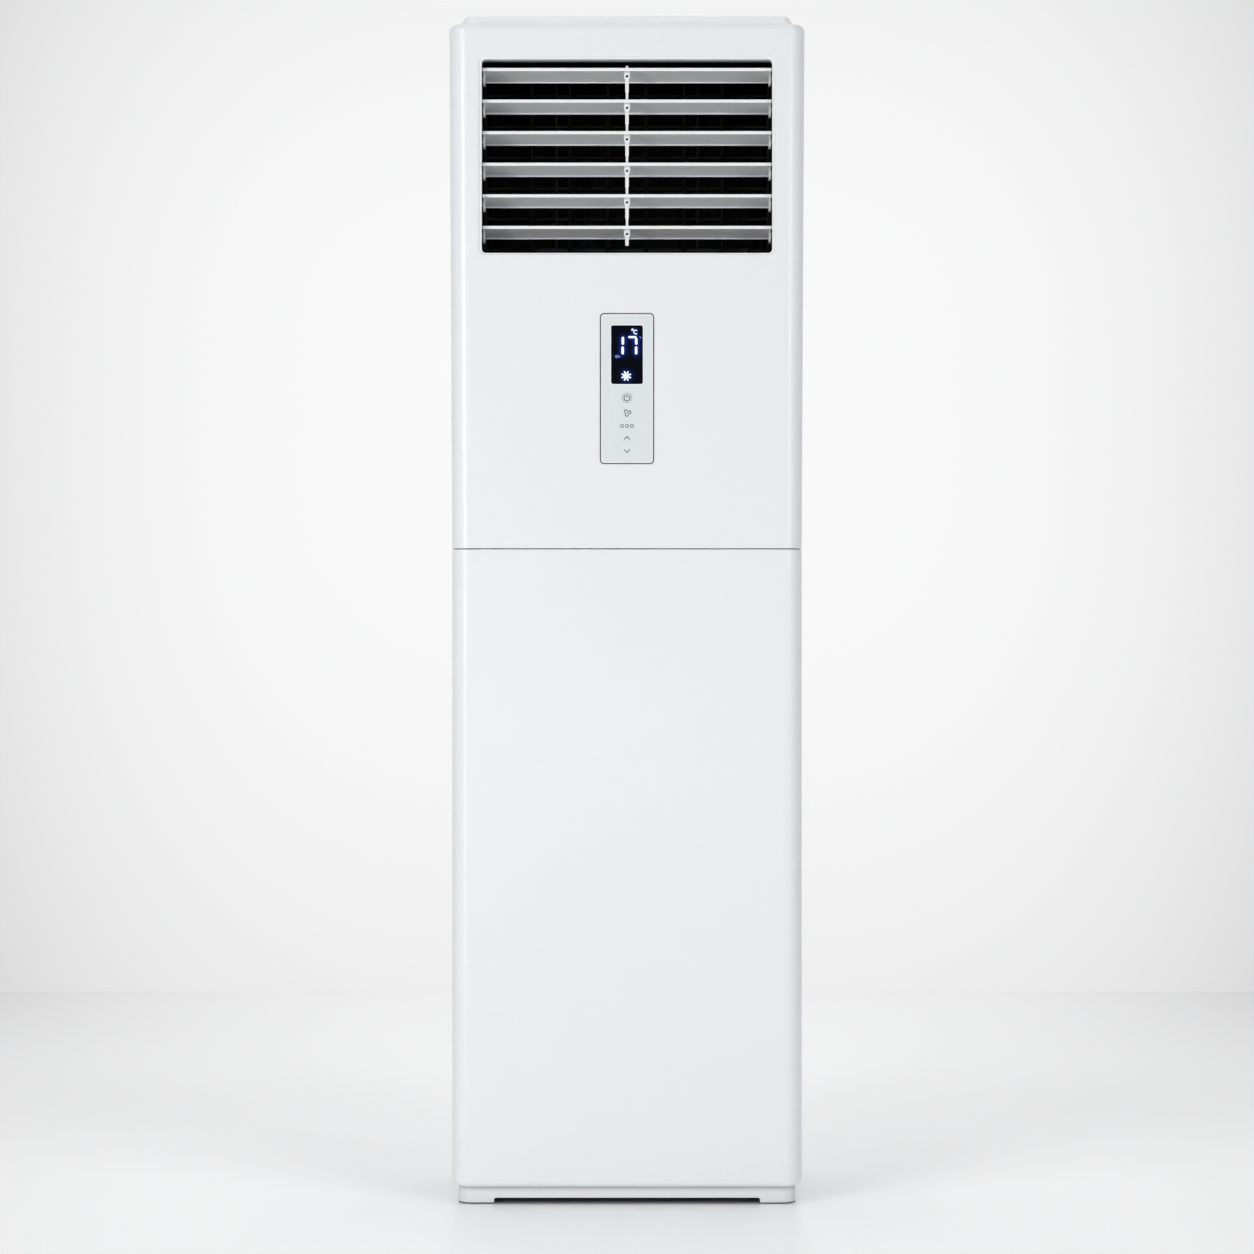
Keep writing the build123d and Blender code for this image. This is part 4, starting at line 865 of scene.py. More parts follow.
@dataclass(frozen=True)
class Lit:
    """A lit figure behind the display window, a fifth dimmer in places.

    Attributes:
        name: The material's name.
        core: Colour of the light.
        strength: Its strength.
        unlit: Colour of the figure itself.
        roughness: Its roughness.
        grain: Grains per metre.
    """

    name: str
    core: Colour
    strength: float
    unlit: Colour = (0.1, 0.12, 0.2)
    roughness: float = 0.4
    grain: float = 260.0

    def material(self) -> bpy.types.Material:
        """Builds the material.

        Returns:
            The material.
        """
        material, tree, shader = blank_material(self.name)
        fleck = placed(tree, GRAIN, Scale=self.grain)["Fleck"]
        dim = tuple(0.8 * level for level in self.core)
        feed(
            tree,
            shader,
            Base_Color=self.unlit,
            Roughness=self.roughness,
            Emission_Color=blend_colours(tree, fleck, dim, self.core),
            Emission_Strength=self.strength,
        )
        return material


Finish = Moulding | Metal | Galvanised | Fins | Ribbed | Woven | Board | DisplayGlass | Lit


def dull_black(name: str, colour: Colour, roughness: float, shine: float) -> Moulding:
    """Black plastic of the inside."""
    return Moulding(name, colour, roughness, 1200.0, 0.00004, drift=0.1, shine=shine)


def ink(name: str, colour: Colour) -> Moulding:
    """Print on the touch face."""
    return Moulding(name, colour, 0.5, 900.0, 0.000002, drift=0.05, shine=0.2)


PANEL = Moulding(
    "panel white",
    (0.83, 0.845, 0.87),
    0.3,
    grain=1700.0,
    depth=0.00001,
    drift=0.012,
    dust=0.02,
    coat=0.08,
    shine=0.42,
)
LID = Moulding(
    "lid white", (0.9, 0.905, 0.915), 0.34, grain=1700.0, depth=0.00001, drift=0.01
)
# the plinth carries painted shade: a contact shadow at its foot and shade under the panels' foot
PLINTH = ShadePaintedMoulding("plinth white", (0.8, 0.81, 0.83), 0.45, grain=1200.0, dust=0.12)
SHEET = Moulding(
    "powder coat", (0.8, 0.81, 0.83), 0.42, grain=520.0, depth=0.00005, wave=0.00004, dust=0.1
)
LOUVRE = Moulding("louvre white", (0.9, 0.905, 0.91), 0.36, grain=1500.0, depth=0.00002)
# the frame's inner walls carry painted shade
FRAME = RecessShadedMoulding(
    "outlet frame white", (0.77, 0.78, 0.795), 0.42, grain=1500.0, depth=0.00002, shine=0.12
)
DUCT = dull_black("duct black", (0.002, 0.002, 0.0022), 0.7, 0.08)
GUARD = dull_black("guard black", (0.007, 0.0065, 0.006), 0.6, 0.15)
INNER = dull_black("inner black", (0.012, 0.012, 0.013), 0.6, 0.2)
OVERLAY = Moulding(
    "overlay gloss", (0.735, 0.775, 0.785), 0.2, grain=900.0, depth=0.000004, coat=0.3
)
FOAM = Moulding(
    "foam", (0.008, 0.008, 0.009), 0.95, grain=420.0, depth=0.0004, drift=0.3, shine=0.05
)
WHEEL = Moulding("wheel dark", (0.035, 0.036, 0.04), 0.5, grain=1300.0, drift=0.1)
MOTOR = Moulding(
    "motor enamel", (0.05, 0.055, 0.06), 0.38, grain=700.0, depth=0.00008, wave=0.00005, drift=0.1
)
GRILLE = Moulding(
    "grille white", (0.76, 0.775, 0.79), 0.42, grain=1500.0, depth=0.00002, dust=0.15
)
RUBBER = Moulding(
    "grommet rubber", (0.02, 0.02, 0.021), 0.72, grain=1100.0, depth=0.00006, drift=0.1
)
TERMINAL = Moulding("terminal cream", (0.5, 0.46, 0.34), 0.5, grain=1200.0, drift=0.05)
PRINT_DARK = ink("print grey", (0.05, 0.053, 0.056))
PRINT_LINE = ink("print line grey", (0.13, 0.135, 0.14))
PRINT_SOFT = ink("print soft grey", (0.3, 0.31, 0.32))
# pale lines on the touch face: painted highlight
PAINTED_HIGHLIGHT = Moulding("print pale", (0.93, 0.94, 0.945), 0.35, grain=900.0, depth=0.000002)
SCREW = Metal("zinc screw", (0.66, 0.66, 0.67), (0.5, 0.5, 0.47), 0.32)
# painted shade: the coil's fins are nearly black, standing for the shaded interior
SHADED_FIN = Metal("coated fin", (0.007, 0.007, 0.008), (0.012, 0.012, 0.012), 0.55, metallic=0.3)
COPPER = Metal("copper", (0.78, 0.36, 0.2), (0.5, 0.2, 0.1), 0.34)
# painted shade: the copper return bends are nearly black, standing for the shaded interior
SHADED_COPPER = Metal(
    "tarnished copper", (0.03, 0.016, 0.01), (0.018, 0.009, 0.006), 0.6, metallic=0.5
)
BRASS = Metal("brass", (0.72, 0.52, 0.2), (0.55, 0.38, 0.14), 0.3, strokes=(0.0, 1.0, 0.0))
FIGURE = Lit("lit figure", (0.82, 0.9, 1.0), 1.25)
FAINT = Lit("faint figure", (0.16, 0.3, 0.85), 0.55)

NODE_FINISHES: dict[str, Finish] = {
    "base_plinth": PLINTH, "left_side_panel": SHEET, "right_side_panel": SHEET,
    "back_panel": SHEET, "case_screws": SCREW, "cross_member": Galvanised(),
    "top_cover": LID, "upper_front_panel": PANEL, "lower_front_panel": PANEL,
    "control_overlay": OVERLAY, "display_window": DisplayGlass(), "display_housing": INNER,
    "display_board": Board(), "louvre_frame": FRAME, "louvre_link": LOUVRE,
    "outlet_duct": DUCT, "vane_link": INNER, "swing_crank": INNER, "swing_motor": INNER,
    "outlet_guard": GUARD, "mid_deck": Galvanised(), "insulation_liner": FOAM,
    "evaporator_fins": Fins(), "evaporator_end_plates": INNER, "return_bends": SHADED_COPPER,
    "suction_header": FOAM, "gas_pipe": COPPER, "liquid_pipe": COPPER, "flare_nuts": BRASS,
    "drain_pan": INNER, "drain_hose": Ribbed(), "pipe_grommet": RUBBER,
    "blower_housing": Galvanised(), "inlet_ring": WHEEL, "blower_impeller": WHEEL,
    "motor_shaft": SCREW, "impeller_nut": SCREW, "blower_motor": MOTOR,
    "motor_bracket": Galvanised(), "left_intake_grille": GRILLE, "right_intake_grille": GRILLE,
    "left_filter": Woven(), "right_filter": Woven(), "control_box": Galvanised(),
    "control_box_cover": Galvanised(), "main_board": Board(), "terminal_block": TERMINAL,
    "fan_capacitor": INNER,
    **{f"louvre_{n}": LOUVRE for n in range(1, 7)},
    **{f"vane_{n}": DUCT for n in range(1, 7)},
}


class Wardrobe:
    """Keeps one material for each finish, and dresses pieces in them."""

    def __init__(self) -> None:
        """Starts with no material made."""
        self._made: dict[Finish, bpy.types.Material] = {}

    def material(self, finish: Finish) -> bpy.types.Material:
        """The finish's material, built the first time it is asked for.

        Args:
            finish: The finish.

        Returns:
            Its material.
        """
        if finish not in self._made:
            self._made[finish] = finish.material()
        return self._made[finish]

    def piece(self, name: str, mesh: Mesh, body: str, finish: Finish, slot: str) -> Piece:
        """Turns a bmesh into a dressed piece.

        Args:
            name: The piece's name.
            mesh: Its shape, in metres, in the shared frame. It is freed.
            body: The body that carries it.
            finish: Its finish.
            slot: Not used.

        Returns:
            The new object.
        """
        piece = bpy.data.objects.new(name, plain_mesh(name, mesh))
        bpy.context.scene.collection.objects.link(piece)
        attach(piece, body)
        piece.data.materials.append(self.material(finish))
        return piece

    def dress_nodes(self) -> None:
        """Gives each carried-over solid its finish."""
        for name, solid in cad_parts.items():
            finish = NODE_FINISHES[name]
            for place in range(len(solid.data.materials)):
                solid.data.materials[place] = self.material(finish)
            if not solid.data.materials:
                solid.data.materials.append(self.material(finish))
            LOG.info("%s: %s", name, finish.name)


# ---------------------------------------------------------------- mesh helpers
def plain_mesh(name: str, mesh: Mesh) -> bpy.types.Mesh:
    """Turns a bmesh into a mesh whose faces point outwards.

    Args:
        name: The mesh's name.
        mesh: Its shape. It is freed.

    Returns:
        The new mesh.
    """
    bmesh.ops.recalc_face_normals(mesh, faces=mesh.faces)
    data = bpy.data.meshes.new(name)
    mesh.to_mesh(data)
    mesh.free()
    return data


def wall(mesh: Mesh, first: Sequence, second: Sequence) -> None:
    """Adds a closed row of faces between two loops of corners.

    Args:
        mesh: The bmesh that it goes into.
        first: One loop's corners.
        second: The other loop's, as many and in the same order.
    """
    for here in range(len(first)):
        after = (here + 1) % len(first)
        mesh.faces.new((first[here], first[after], second[after], second[here]))


def slab(mesh: Mesh, outline: Sequence[Point], near: float, far: float) -> None:
    """Adds a closed slab whose outline is seen from the front.

    Args:
        mesh: The bmesh that it goes into.
        outline: Corners as X and Z.
        near: Y of its front face.
        far: Y of its back face.
    """
    fronts = [mesh.verts.new((x, near, z)) for x, z in outline]
    backs = [mesh.verts.new((x, far, z)) for x, z in outline]
    mesh.faces.new(fronts)
    mesh.faces.new(list(reversed(backs)))
    wall(mesh, fronts, backs)


def profiled_ring(mesh: Mesh, profile: Sequence[tuple[Sequence[Point], float]]) -> None:
    """Adds a closed ring of any section.

    Args:
        mesh: The bmesh that it goes into.
        profile: The section's corners in order, each as its outline in X and Z and its Y.
    """
    rows = [[mesh.verts.new((x, y, z)) for x, z in outline] for outline, y in profile]
    for row, first in enumerate(rows):
        wall(mesh, first, rows[(row + 1) % len(rows)])


def around(centre: Point, radius: float, angle: float) -> Point:
    """The point at a radius and an angle from a centre."""
    return centre[0] + radius * math.cos(angle), centre[1] + radius * math.sin(angle)


def circle(centre: Point, radius: float, sides: int) -> list[Point]:
    """Corners of a regular polygon that stands for a circle."""
    return [around(centre, radius, 2 * math.pi * side / sides) for side in range(sides)]


def round_rectangle(centre: Point, size: Point, radius: float, steps: int = 8) -> list[Point]:
    """Corners of a rounded rectangle.

    Args:
        centre: Its middle, as X and Z.
        size: Its width and height.
        radius: Its corner radius.
        steps: Straight pieces in each corner.

    Returns:
        The points in order.
    """
    points = []
    for corner, (side_x, side_z) in enumerate(((1, 1), (-1, 1), (-1, -1), (1, -1))):
        middle_x = centre[0] + side_x * (size[0] / 2 - radius)
        middle_z = centre[1] + side_z * (size[1] / 2 - radius)
        for step in range(steps + 1):
            angle = math.radians(90 * (corner + step / steps))
            points.append(around((middle_x, middle_z), radius, angle))
    return points


def bar(start: Point, end: Point, width: float, steps: int = 6) -> list[Point]:
    """Outline of a straight bar with round ends.

    Args:
        start: Middle of one end.
        end: Middle of the other end.
        width: The bar's width.
        steps: Straight pieces in each end.

    Returns:
        The points in order.
    """
    angle = math.atan2(end[1] - start[1], end[0] - start[0])
    return [
        around(middle, width / 2, angle + turn + math.pi * step / steps)
        for middle, turn in ((end, -math.pi / 2), (start, math.pi / 2))
        for step in range(steps + 1)
    ]


def arc_band(
    centre: Point, radius: float, width: float, first: float, last: float, steps: int = 28
) -> list[Point]:
    """Outline of a band along an arc.

    Args:
        centre: The arc's centre.
        radius: Radius of the band's middle.
        width: The band's width.
        first: Angle of its start, in degrees.
        last: Angle of its end, in degrees.
        steps: Straight pieces along it.

    Returns:
        The points in order.
    """
    angles = [math.radians(first + (last - first) * step / steps) for step in range(steps + 1)]
    outer = [around(centre, radius + width / 2, angle) for angle in angles]
    inner = [around(centre, radius - width / 2, angle) for angle in reversed(angles)]
    return outer + inner


# ---------------------------------------------------------------- geometry node helpers
def geometry_tree(name: str, inputs: Sequence[tuple[str, str, object]]) -> Tree:
    """Starts a Geometry Nodes tree with named inputs and one geometry output.

    Args:
        name: The tree's name.
        inputs: Name, socket kind and default of each input.

    Returns:
        The tree.
    """
    tree = bpy.data.node_groups.new(name, "GeometryNodeTree")
    tree.interface.new_socket("Geometry", in_out="INPUT", socket_type="NodeSocketGeometry")
    for label, kind, default in inputs:
        socket = tree.interface.new_socket(label, in_out="INPUT", socket_type=kind)
        if default is not None:
            socket.default_value = default
    tree.interface.new_socket("Geometry", in_out="OUTPUT", socket_type="NodeSocketGeometry")
    return tree


def realised(tree: Tree, instances: Socket) -> Socket:
    """The instances as plain geometry."""
    return node(tree, "GeometryNodeRealizeInstances", Geometry=instances).outputs["Geometry"]


def end_tree(tree: Tree, instances: Socket, finish: Socket) -> None:
    """Makes instances plain, gives them their finish and puts them out.

    Args:
        tree: The geometry tree.
        instances: What it has grown.
        finish: The material for it.
    """
    plain = realised(tree, instances)
    paint = node(tree, "GeometryNodeSetMaterial", Geometry=plain, Material=finish)
    node(tree, "NodeGroupOutput", Geometry=paint.outputs["Geometry"])


def grown_piece(
    name: str, tree: Tree, seed_mesh: bpy.types.Mesh, values: dict[str, object], body: str
) -> Piece:
    """Runs a Geometry Nodes tree on a seed mesh and keeps the result as a plain mesh.

    Args:
        name: The piece's name.
        tree: The tree to run.
        seed_mesh: The mesh that it starts from.
        values: Its inputs by name.
        body: The body that carries the piece.

    Returns:
        The finished piece, with no modifier left on it.
    """
    carrier = bpy.data.objects.new(name, seed_mesh)
    bpy.context.scene.collection.objects.link(carrier)
    modifier = carrier.modifiers.new("grow", "NODES")
    modifier.node_group = tree
    for item in tree.interface.items_tree:
        if item.item_type == "SOCKET" and item.in_out == "INPUT" and item.name in values:
            modifier[item.identifier] = values[item.name]
    ready = carrier.evaluated_get(bpy.context.evaluated_depsgraph_get())
    plain = bpy.data.meshes.new_from_object(ready)
    carrier.modifiers.remove(modifier)
    carrier.data = plain
    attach(carrier, body)
    return carrier


def repeat_tree(name: str) -> Tree:
    """A tree that stands one pattern mesh on every point of the seed mesh.

    Args:
        name: The tree's name.

    Returns:
        The tree. Its inputs are Pattern, Turn, Seed and Finish. Each copy is turned about Y by
        a random angle of up to Turn either way.
    """
    tree = geometry_tree(
        name,
        [
            ("Pattern", "NodeSocketObject", None),
            ("Turn", FLOAT, 0.0),
            ("Seed", WHOLE, 7),
            ("Finish", FINISH, None),
        ],
    )
    given = tree.nodes.new("NodeGroupInput").outputs
    turn = node(tree, "FunctionNodeRandomValue")
    turn.data_type = "FLOAT"
    least, most = (s for s in turn.inputs if s.name in ("Min", "Max") and s.type == "VALUE")
    fill(tree, least, maths(tree, "MULTIPLY", given["Turn"], -1.0))
    fill(tree, most, given["Turn"])
    feed(tree, turn, Seed=given["Seed"])
    spun = next(s for s in turn.outputs if s.type == "VALUE")
    pattern = node(tree, "GeometryNodeObjectInfo", Object=given["Pattern"])
    laid = node(
        tree,
        "GeometryNodeInstanceOnPoints",
        Points=given["Geometry"],
        Instance=pattern.outputs["Geometry"],
        Rotation=node(tree, "ShaderNodeCombineXYZ", Y=spun).outputs["Vector"],
    )
    end_tree(tree, laid.outputs["Instances"], given["Finish"])
    return tree


def point_mesh(name: str, places: Iterable[Place]) -> bpy.types.Mesh:
    """A mesh of bare points, as the seed of a repeated piece.

    Args:
        name: The mesh's name.
        places: The points.

    Returns:
        The mesh.
    """
    mesh = bpy.data.meshes.new(name)
    mesh.from_pydata(list(places), [], [])
    return mesh


def island_boxes(solid: Piece) -> list[tuple[Vector, Vector]]:
    """Lowest and highest corner of each loose solid in a carried-over node.

    Args:
        solid: The node's object.

    Returns:
        The two corners of each solid's box.
    """
    copy = bmesh.new()
    copy.from_mesh(solid.data)
    bmesh.ops.remove_doubles(copy, verts=copy.verts, dist=1e-6)
    copy.verts.ensure_lookup_table()
    seen: set[int] = set()
    found = []
    for start in copy.verts:
        if start.index in seen:
            continue
        stack, corners = [start], []
        seen.add(start.index)
        while stack:
            here = stack.pop()
            corners.append(here.co.copy())
            for edge in here.link_edges:
                other = edge.other_vert(here)
                if other.index not in seen:
                    seen.add(other.index)
                    stack.append(other)
        low = Vector([min(c[k] for c in corners) for k in range(3)])
        high = Vector([max(c[k] for c in corners) for k in range(3)])
        found.append((low, high))
    copy.free()
    return found


# ---------------------------------------------------------------- sub-assemblies
@dataclass
class CaseScrews:
    """Pan-head screws with a cross recess, one for each screw of the case.

    Attributes:
        head_radius: Radius of the head.
        head_height: Height of the head.
        shank_radius: Radius of the shank.
        shank: Length of the shank.
        tip: Length of its point.
        recess: Half length of one arm of the cross.
        arm: Half width of an arm.
        recess_depth: Depth of the cross.
        recess_foot: Size of the cross at its foot, of that at its rim.
        sides: Sides of the head.
        turn: Most that a screw is turned from level, in radians.
        seed: Seed of the turns.
    """

    head_radius: float = 0.004
    head_height: float = 0.002
    shank_radius: float = 0.0019
    shank: float = 0.006
    tip: float = 0.001
    recess: float = 0.0021
    arm: float = 0.00045
    recess_depth: float = 0.0012
    recess_foot: float = 0.7
    sides: int = 24
    turn: float = 0.7
    seed: int = 11

    def pattern(self) -> Piece:
        """One screw, its head's underside at the origin and its axis along Y.

        Returns:
            The screw, as an object that is in no scene.
        """
        mesh = bmesh.new()
        profile = (
            (self.recess * 1.25, self.head_height),
            (self.head_radius * 0.72, self.head_height * 0.94),
            (self.head_radius * 0.93, self.head_height * 0.66),
            (self.head_radius, self.head_height * 0.3),
            (self.head_radius, 0.0),
            (self.shank_radius, 0.0),
            (self.shank_radius, -self.shank),
            (self.shank_radius * 0.4, -self.shank - self.tip),
        )
        rows = [
            [mesh.verts.new((x, height, z)) for x, z in circle((0.0, 0.0), radius, self.sides)]
            for radius, height in profile
        ]
        for first, second in zip(rows, rows[1:]):
            wall(mesh, first, second)
        mesh.faces.new(rows[-1])
        cross = self._cross()
        foot, depth = self.recess_foot, self.head_height - self.recess_depth
        rim = [mesh.verts.new((x, self.head_height, z)) for x, z in cross]
        floor = [mesh.verts.new((x * foot, depth, z * foot)) for x, z in cross]
        wall(mesh, rim, floor)
        mesh.faces.new(floor)
        edges = [
            mesh.edges.get((loop[here], loop[(here + 1) % len(loop)]))
            for loop in (rows[0], rim)
            for here in range(len(loop))
        ]
        bmesh.ops.triangle_fill(mesh, edges=edges, use_beauty=True)
        return bpy.data.objects.new("screw_pattern", plain_mesh("screw_pattern", mesh))

    def _cross(self) -> list[Point]:
        """Outline of the cross recess.

        Returns:
            The points in order.
        """
        points = []
        for quarter in range(4):
            turn = math.radians(90 * quarter)
            for x, z in ((self.recess, -self.arm), (self.recess, self.arm), (self.arm, self.arm)):
                turned_x = x * math.cos(turn) - z * math.sin(turn)
                points.append((turned_x, x * math.sin(turn) + z * math.cos(turn)))
        return points

    def build(self, wardrobe: Wardrobe) -> Piece:
        """Builds all the screws as one piece.

        Args:
            wardrobe: Where the finishes come from.

        Returns:
            The piece, which replaces the plain solids.
        """
        places = []
        for low, high in island_boxes(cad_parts["case_screws"]):
            middle = (low + high) / 2
            places.append((middle.x, high.y - self.head_height, middle.z))
        piece = grown_piece(
            "case_screw_heads",
            repeat_tree("screws on points"),
            point_mesh("screw_places", places),
            {
                "Pattern": self.pattern(),
                "Turn": self.turn,
                "Seed": self.seed,
                "Finish": wardrobe.material(SCREW),
            },
            "cabinet",
        )
        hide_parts("case_screws")
        LOG.info("case_screw_heads: %d screws", len(places))
        return piece


@dataclass
class ControlFace:
    """Printed borders, painted highlight lines, symbols and lit figures of the touch face.

    Attributes:
        sink: Overlay's face behind the panel's face.
        print_height: How far a print stands on the overlay.
        outline: Width of the dark border line.
        highlight_line: Width of the pale line inside it, a painted highlight.
        overlay_corner: Corner radius of the overlay.
        window_highlight: Width of the pale line round the window, a painted highlight.
        window_gap: How far that line stands out from the window.
        window_corner: Corner radius of the window.
        stroke: Width of a symbol's lines.
        segment: Width of a lit segment.
        power_at: Middle of the power symbol.
        fan_at: Middle of the fan symbol.
        mode_at: Middle of the three mode rings.
        mode_pitch: Distance between those rings.
        up_at: Middle of the upward chevron.
        down_at: Middle of the downward chevron.
        star_at: Middle of the cooling star.
    """

    sink: float = 0.0003
    print_height: float = 0.00012
    outline: float = 0.0016
    highlight_line: float = 0.0013
    overlay_corner: float = 0.0059
    window_highlight: float = 0.0011
    window_gap: float = 0.0013
    window_corner: float = 0.0028
    stroke: float = 0.0012
    segment: float = 0.0036
    power_at: Point = (0.0, 1.1672)
    fan_at: Point = (0.0004, 1.1456)
    mode_at: Point = (0.0, 1.1266)
    mode_pitch: float = 0.0070
    up_at: Point = (0.0, 1.1091)
    down_at: Point = (0.0, 1.0904)
    star_at: Point = (-0.0011, 1.1988)

    def build(self, wardrobe: Wardrobe) -> list[Piece]:
        """Builds all the prints and figures.

        Args:
            wardrobe: Where the finishes come from.

        Returns:
            The pieces.
        """
        made = [
            self._borders(wardrobe),
            self._painted_highlight_lines(wardrobe),
            self._print("touch_symbols", self._symbols(), wardrobe, PRINT_DARK, "inner_black"),
            self._print("power_ring", self._power_ring(), wardrobe, PRINT_SOFT, "inner_black"),
            self._print("lit_figures", self._figures(), wardrobe, FIGURE, "display_glass"),
            self._print("faint_figures", self._faint_figures(), wardrobe, FAINT, "display_glass"),
        ]
        for piece in made:
            LOG.info("%s: %d faces", piece.name, len(piece.data.polygons))
        return made

    def _layer(self) -> tuple[float, float]:
        """Y of a print's front and back."""
        face = FRONT + self.sink
        return face - self.print_height, face

    def _print(
        self,
        name: str,
        shapes: Iterable[Sequence[Point]],
        wardrobe: Wardrobe,
        finish: Finish,
        slot: str,
    ) -> Piece:
        """Makes one print of several outlines.

        Args:
            name: The piece's name.
            shapes: The outlines, as X and Z.
            wardrobe: Where the finishes come from.
            finish: The print's finish.
            slot: Its paint slot.

        Returns:
            The piece.
        """
        mesh = bmesh.new()
        for shape in shapes:
            slab(mesh, shape, *self._layer())
        return wardrobe.piece(name, mesh, "cabinet", finish, slot)

    def _ring(self, mesh: Mesh, name: str, grown: float, width: float, corner: float) -> None:
        """Adds a printed line round a node.

        Args:
            mesh: The bmesh that it goes into.
            name: The node's name.
            grown: How far outside the node the line starts.
            width: The line's width, inwards.
            corner: The node's corner radius.
        """
        low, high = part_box(name)
        middle = (low.x + high.x) / 2, (low.z + high.z) / 2
        wide, tall = high.x - low.x + 2 * grown, high.z - low.z + 2 * grown
        outer = round_rectangle(middle, (wide, tall), corner + grown)
        inner = round_rectangle(
            middle, (wide - 2 * width, tall - 2 * width), max(corner + grown - width, 0.0004)
        )
        near, far = self._layer()
        profiled_ring(mesh, ((outer, near), (inner, near), (inner, far), (outer, far)))

    def _borders(self, wardrobe: Wardrobe) -> Piece:
        """Dark line round the overlay.

        Args:
            wardrobe: Where the finishes come from.

        Returns:
            The piece.
        """
        mesh = bmesh.new()
        self._ring(mesh, "control_overlay", 0.0, self.outline, self.overlay_corner)
        return wardrobe.piece("overlay_outline", mesh, "cabinet", PRINT_LINE, "inner_black")

    def _painted_highlight_lines(self, wardrobe: Wardrobe) -> Piece:
        """Pale lines of painted highlight inside the dark one and round the window.

        Args:
            wardrobe: Where the finishes come from.

        Returns:
            The piece.
        """
        mesh = bmesh.new()
        # painted highlight along the inside of the dark border, and round the window
        self._ring(mesh, "control_overlay", -self.outline, self.highlight_line, self.overlay_corner)
        self._ring(
            mesh, "display_window", self.window_gap, self.window_highlight, self.window_corner
        )
        return wardrobe.piece("overlay_pale_lines", mesh, "cabinet", PAINTED_HIGHLIGHT, "panel_white")

    def _symbols(self) -> list[list[Point]]:
        """Touch symbols: power, fan, mode, up and down.

        Returns:
            Their outlines.
        """
        power_x, power_z = self.power_at
        shapes = [
            arc_band(self.power_at, 0.0042, self.stroke, 118.0, 422.0),
            bar((power_x, power_z + 0.0005), (power_x, power_z + 0.0046), self.stroke),
        ]
        for blade in range(3):
            turn = 120.0 * blade + 15.0
            middle = around(self.fan_at, 0.0031, math.radians(turn))
            shapes.append(arc_band(middle, 0.0021, self.stroke, turn - 150.0, turn + 125.0))
        fan_x, fan_z = self.fan_at
        shapes.append(bar((fan_x - 0.00002, fan_z), (fan_x + 0.00002, fan_z), self.stroke * 1.3))
        for place in (-1, 0, 1):
            middle = (self.mode_at[0] + place * self.mode_pitch, self.mode_at[1])
            shapes.append(arc_band(middle, 0.0021, self.stroke * 0.85, 0.0, 359.0, 20))
        shapes.append(self._chevron(self.up_at, 1))
        shapes.append(self._chevron(self.down_at, -1))
        return shapes

    def _power_ring(self) -> list[list[Point]]:
        """Softer ring round the power symbol."""
        return [arc_band(self.power_at, 0.0068, self.stroke * 0.7, 0.0, 359.5, 44)]

    def _chevron(self, middle: Point, lean: int) -> list[Point]:
        """Outline of a chevron.

        Args:
            middle: Its middle.
            lean: 1 where it points up, -1 where it points down.

        Returns:
            The points in order.
        """
        half, rise, thick = 0.0042, 0.0023, self.stroke * 1.35
        corners = [
            (-half, -rise),
            (0.0, rise),
            (half, -rise),
            (half, -rise - thick),
            (0.0, rise - thick),
            (-half, -rise - thick),
        ]
        return [(middle[0] + x, middle[1] + lean * (z + thick / 2)) for x, z in corners]

    def _figures(self) -> list[list[Point]]:
        """Lit digits, degree sign and the cooling star.

        Returns:
            Their outlines.
        """
        uprights = (
            (-0.0060, 1.2457, 1.2537),
            (-0.0063, 1.2317, 1.2397),
            (0.0134, 1.2457, 1.2520),
            (0.0132, 1.2317, 1.2397),
        )
        shapes = [bar((x, foot), (x, head), self.segment) for x, foot, head in uprights]
        shapes += [
            bar((0.0032, 1.2549), (0.0122, 1.2549), self.segment * 0.84),
            arc_band((0.0080, 1.2656), 0.0012, 0.0010, 0.0, 359.0, 16),
            arc_band((0.0127, 1.2622), 0.0028, 0.0013, 45.0, 315.0, 20),
        ]
        for arm in range(8):
            turn = math.radians(45 * arm + 22)
            root, tip = (around(self.star_at, reach, turn) for reach in (0.0024, 0.0064))
            shapes.append(bar(root, tip, 0.0022))
        shapes.append(arc_band(self.star_at, 0.0014, 0.0012, 0.0, 359.0, 16))
        return shapes

    def _faint_figures(self) -> list[list[Point]]:
        """Dimmer marks beside the digits.

        Returns:
            Their outlines.
        """
        return [
            bar((0.0186, 1.2552), (0.0202, 1.2538), 0.0012),
            arc_band((-0.0148, 1.2270), 0.0016, 0.0013, 200.0, 340.0, 14),
            bar((-0.0168, 1.2274), (-0.0146, 1.2282), 0.0014),
            bar((-0.0134, 1.2276), (-0.0108, 1.2264), 0.0016),
        ]


